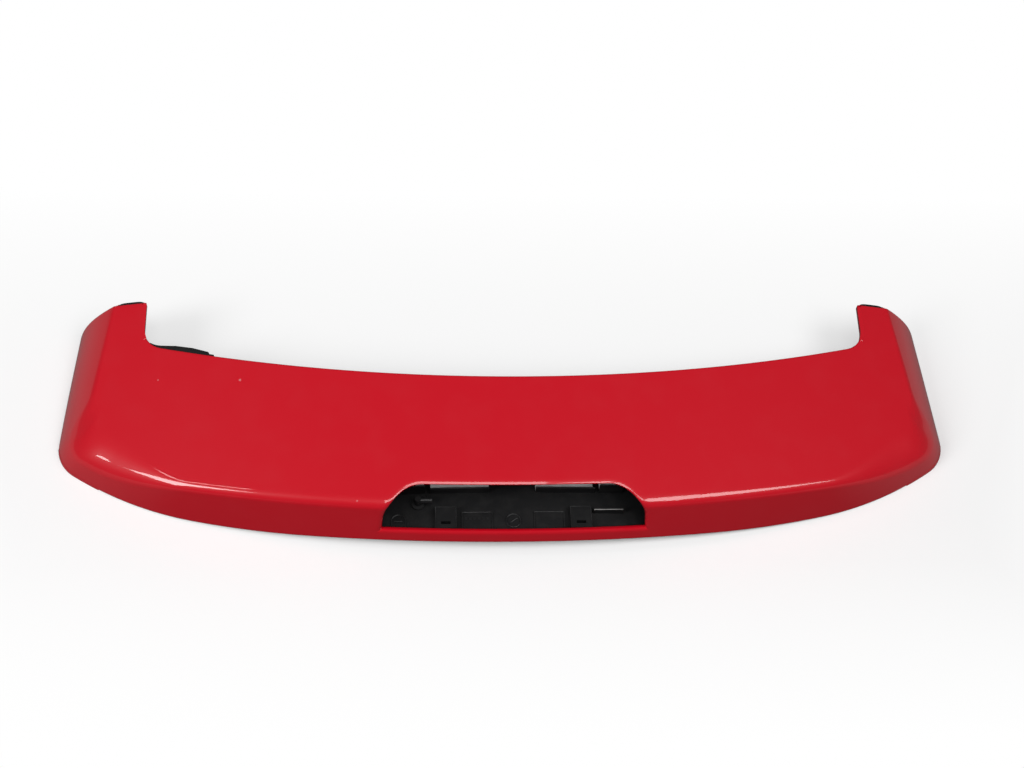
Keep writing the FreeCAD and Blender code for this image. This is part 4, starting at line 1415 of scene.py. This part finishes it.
def floor_finish():
    """Studio floor: pale to the camera; to diffuse and glossy rays a painted reflection tone, dark grey in the
    middle and lighter grey to the sides, which the paint mirrors.
    """
    material, tree, shader = new_material("studio_floor")
    path = tree.nodes.new("ShaderNodeLightPath")
    mirrored = math_node(tree, "MULTIPLY", path.outputs["Is Glossy Ray"], FLOOR_MIRRORED)
    seen = math_node(tree, "ADD", path.outputs["Is Camera Ray"], path.outputs["Is Transmission Ray"])
    share = math_node(tree, "ADD", seen, mirrored)
    place = tree.nodes.new("ShaderNodeSeparateXYZ")
    tree.links.new(tree.nodes.new("ShaderNodeTexCoord").outputs["Object"], place.inputs["Vector"])
    # Painted reflection: dark grey floor in the middle, lighter grey to the sides, for every ray but the
    # camera's.
    aside = range_node(tree, math_node(tree, "ABSOLUTE", place.outputs["X"], 0.0), *FLOOR_ASIDE)
    reflected_tone = mix_colour(tree, aside, FLOOR_MIDDLE_REFLECTION, FLOOR_SIDE_REFLECTION)
    tone = mix_colour(tree, share, reflected_tone, tuple(colours().floor))
    tree.links.new(tone, shader.inputs["Base Color"])
    shader.inputs["Roughness"].default_value = 0.9
    shader.inputs["Specular IOR Level"].default_value = 0.0
    far = range_node(tree, place.outputs["Y"], *FLOOR_FAR)
    for axis, ends in FLOOR_OUTER:
        reach = range_node(tree, math_node(tree, "ABSOLUTE", place.outputs[axis], 0.0), *ends)
        far = math_node(tree, "MAXIMUM", far, reach)
    glow = tree.nodes.new("ShaderNodeEmission")
    both = tree.nodes.new("ShaderNodeMixShader")
    tree.links.new(math_node(tree, "MULTIPLY", path.outputs["Is Camera Ray"], far), both.inputs[0])
    tree.links.new(shader.outputs["BSDF"], both.inputs[1])
    tree.links.new(glow.outputs["Emission"], both.inputs[2])
    tree.links.new(both.outputs["Shader"], tree.nodes["Material Output"].inputs["Surface"])
    return material


class SPOILER_OT_stage(bpy.types.Operator):
    """Set up the pale floor, soft lamps and the camera"""

    bl_idname = "spoiler.stage"
    bl_label = "Stage"

    def execute(self, context):
        scene = context.scene
        scene.view_settings.view_transform = "Standard"
        mesh = bpy.data.meshes.new("floor")
        half = 8.0
        corners = ((-half, -half), (half, -half), (half, half), (-half, half))
        mesh.from_pydata([(x, y, -0.0002) for x, y in corners], [], [(0, 1, 2, 3)])
        floor = bpy.data.objects.new("floor", mesh)
        scene.collection.objects.link(floor)
        mesh.materials.append(floor_finish())
        world = bpy.data.worlds.new("studio")
        scene.world = world
        world.use_nodes = True
        back = world.node_tree.nodes["Background"]
        back.inputs["Color"].default_value = (1.0, 1.0, 1.0, 1.0)
        rays = world.node_tree.nodes.new("ShaderNodeLightPath")
        seen = math_node(world.node_tree, "MAXIMUM", rays.outputs["Is Camera Ray"], WORLD_LIGHT)
        world.node_tree.links.new(seen, back.inputs["Strength"])
        for name, place, size, power in LAMPS:
            area_light(name, place, (0.0, 0.0, 0.0), size, power)
        make_camera()
        return {"FINISHED"}


class SPOILER_PT_panel(bpy.types.Panel):
    """Lists the spoiler's sizes, colours and build steps"""

    bl_label = "Tailgate spoiler"
    bl_idname = "SPOILER_PT_panel"
    bl_space_type = "VIEW_3D"
    bl_region_type = "UI"
    bl_category = "Spoiler"

    def draw(self, context):
        layout = self.layout
        for group in (context.scene.spoiler_sizes, context.scene.spoiler_colours):
            for name in group.__annotations__:
                layout.prop(group, name)
        for operator in OPERATORS:
            layout.operator(operator.bl_idname)


OPERATORS = (
    SPOILER_OT_skin,
    SPOILER_OT_carrier,
    SPOILER_OT_seals,
    SPOILER_OT_fasteners,
    SPOILER_OT_stage,
)
CLASSES = (SpoilerSizes, SpoilerColours, *OPERATORS, SPOILER_PT_panel)


def register():
    for item in CLASSES:
        bpy.utils.register_class(item)
    bpy.types.Scene.spoiler_sizes = bpy.props.PointerProperty(type=SpoilerSizes)
    bpy.types.Scene.spoiler_colours = bpy.props.PointerProperty(type=SpoilerColours)


def unregister():
    del bpy.types.Scene.spoiler_colours
    del bpy.types.Scene.spoiler_sizes
    for item in reversed(CLASSES):
        bpy.utils.unregister_class(item)


def main():
    register()
    bpy.ops.spoiler.skin()
    bpy.ops.spoiler.carrier()
    bpy.ops.spoiler.seals()
    bpy.ops.spoiler.fasteners()
    bpy.ops.spoiler.stage()


if __name__ == "__main__":
    main()
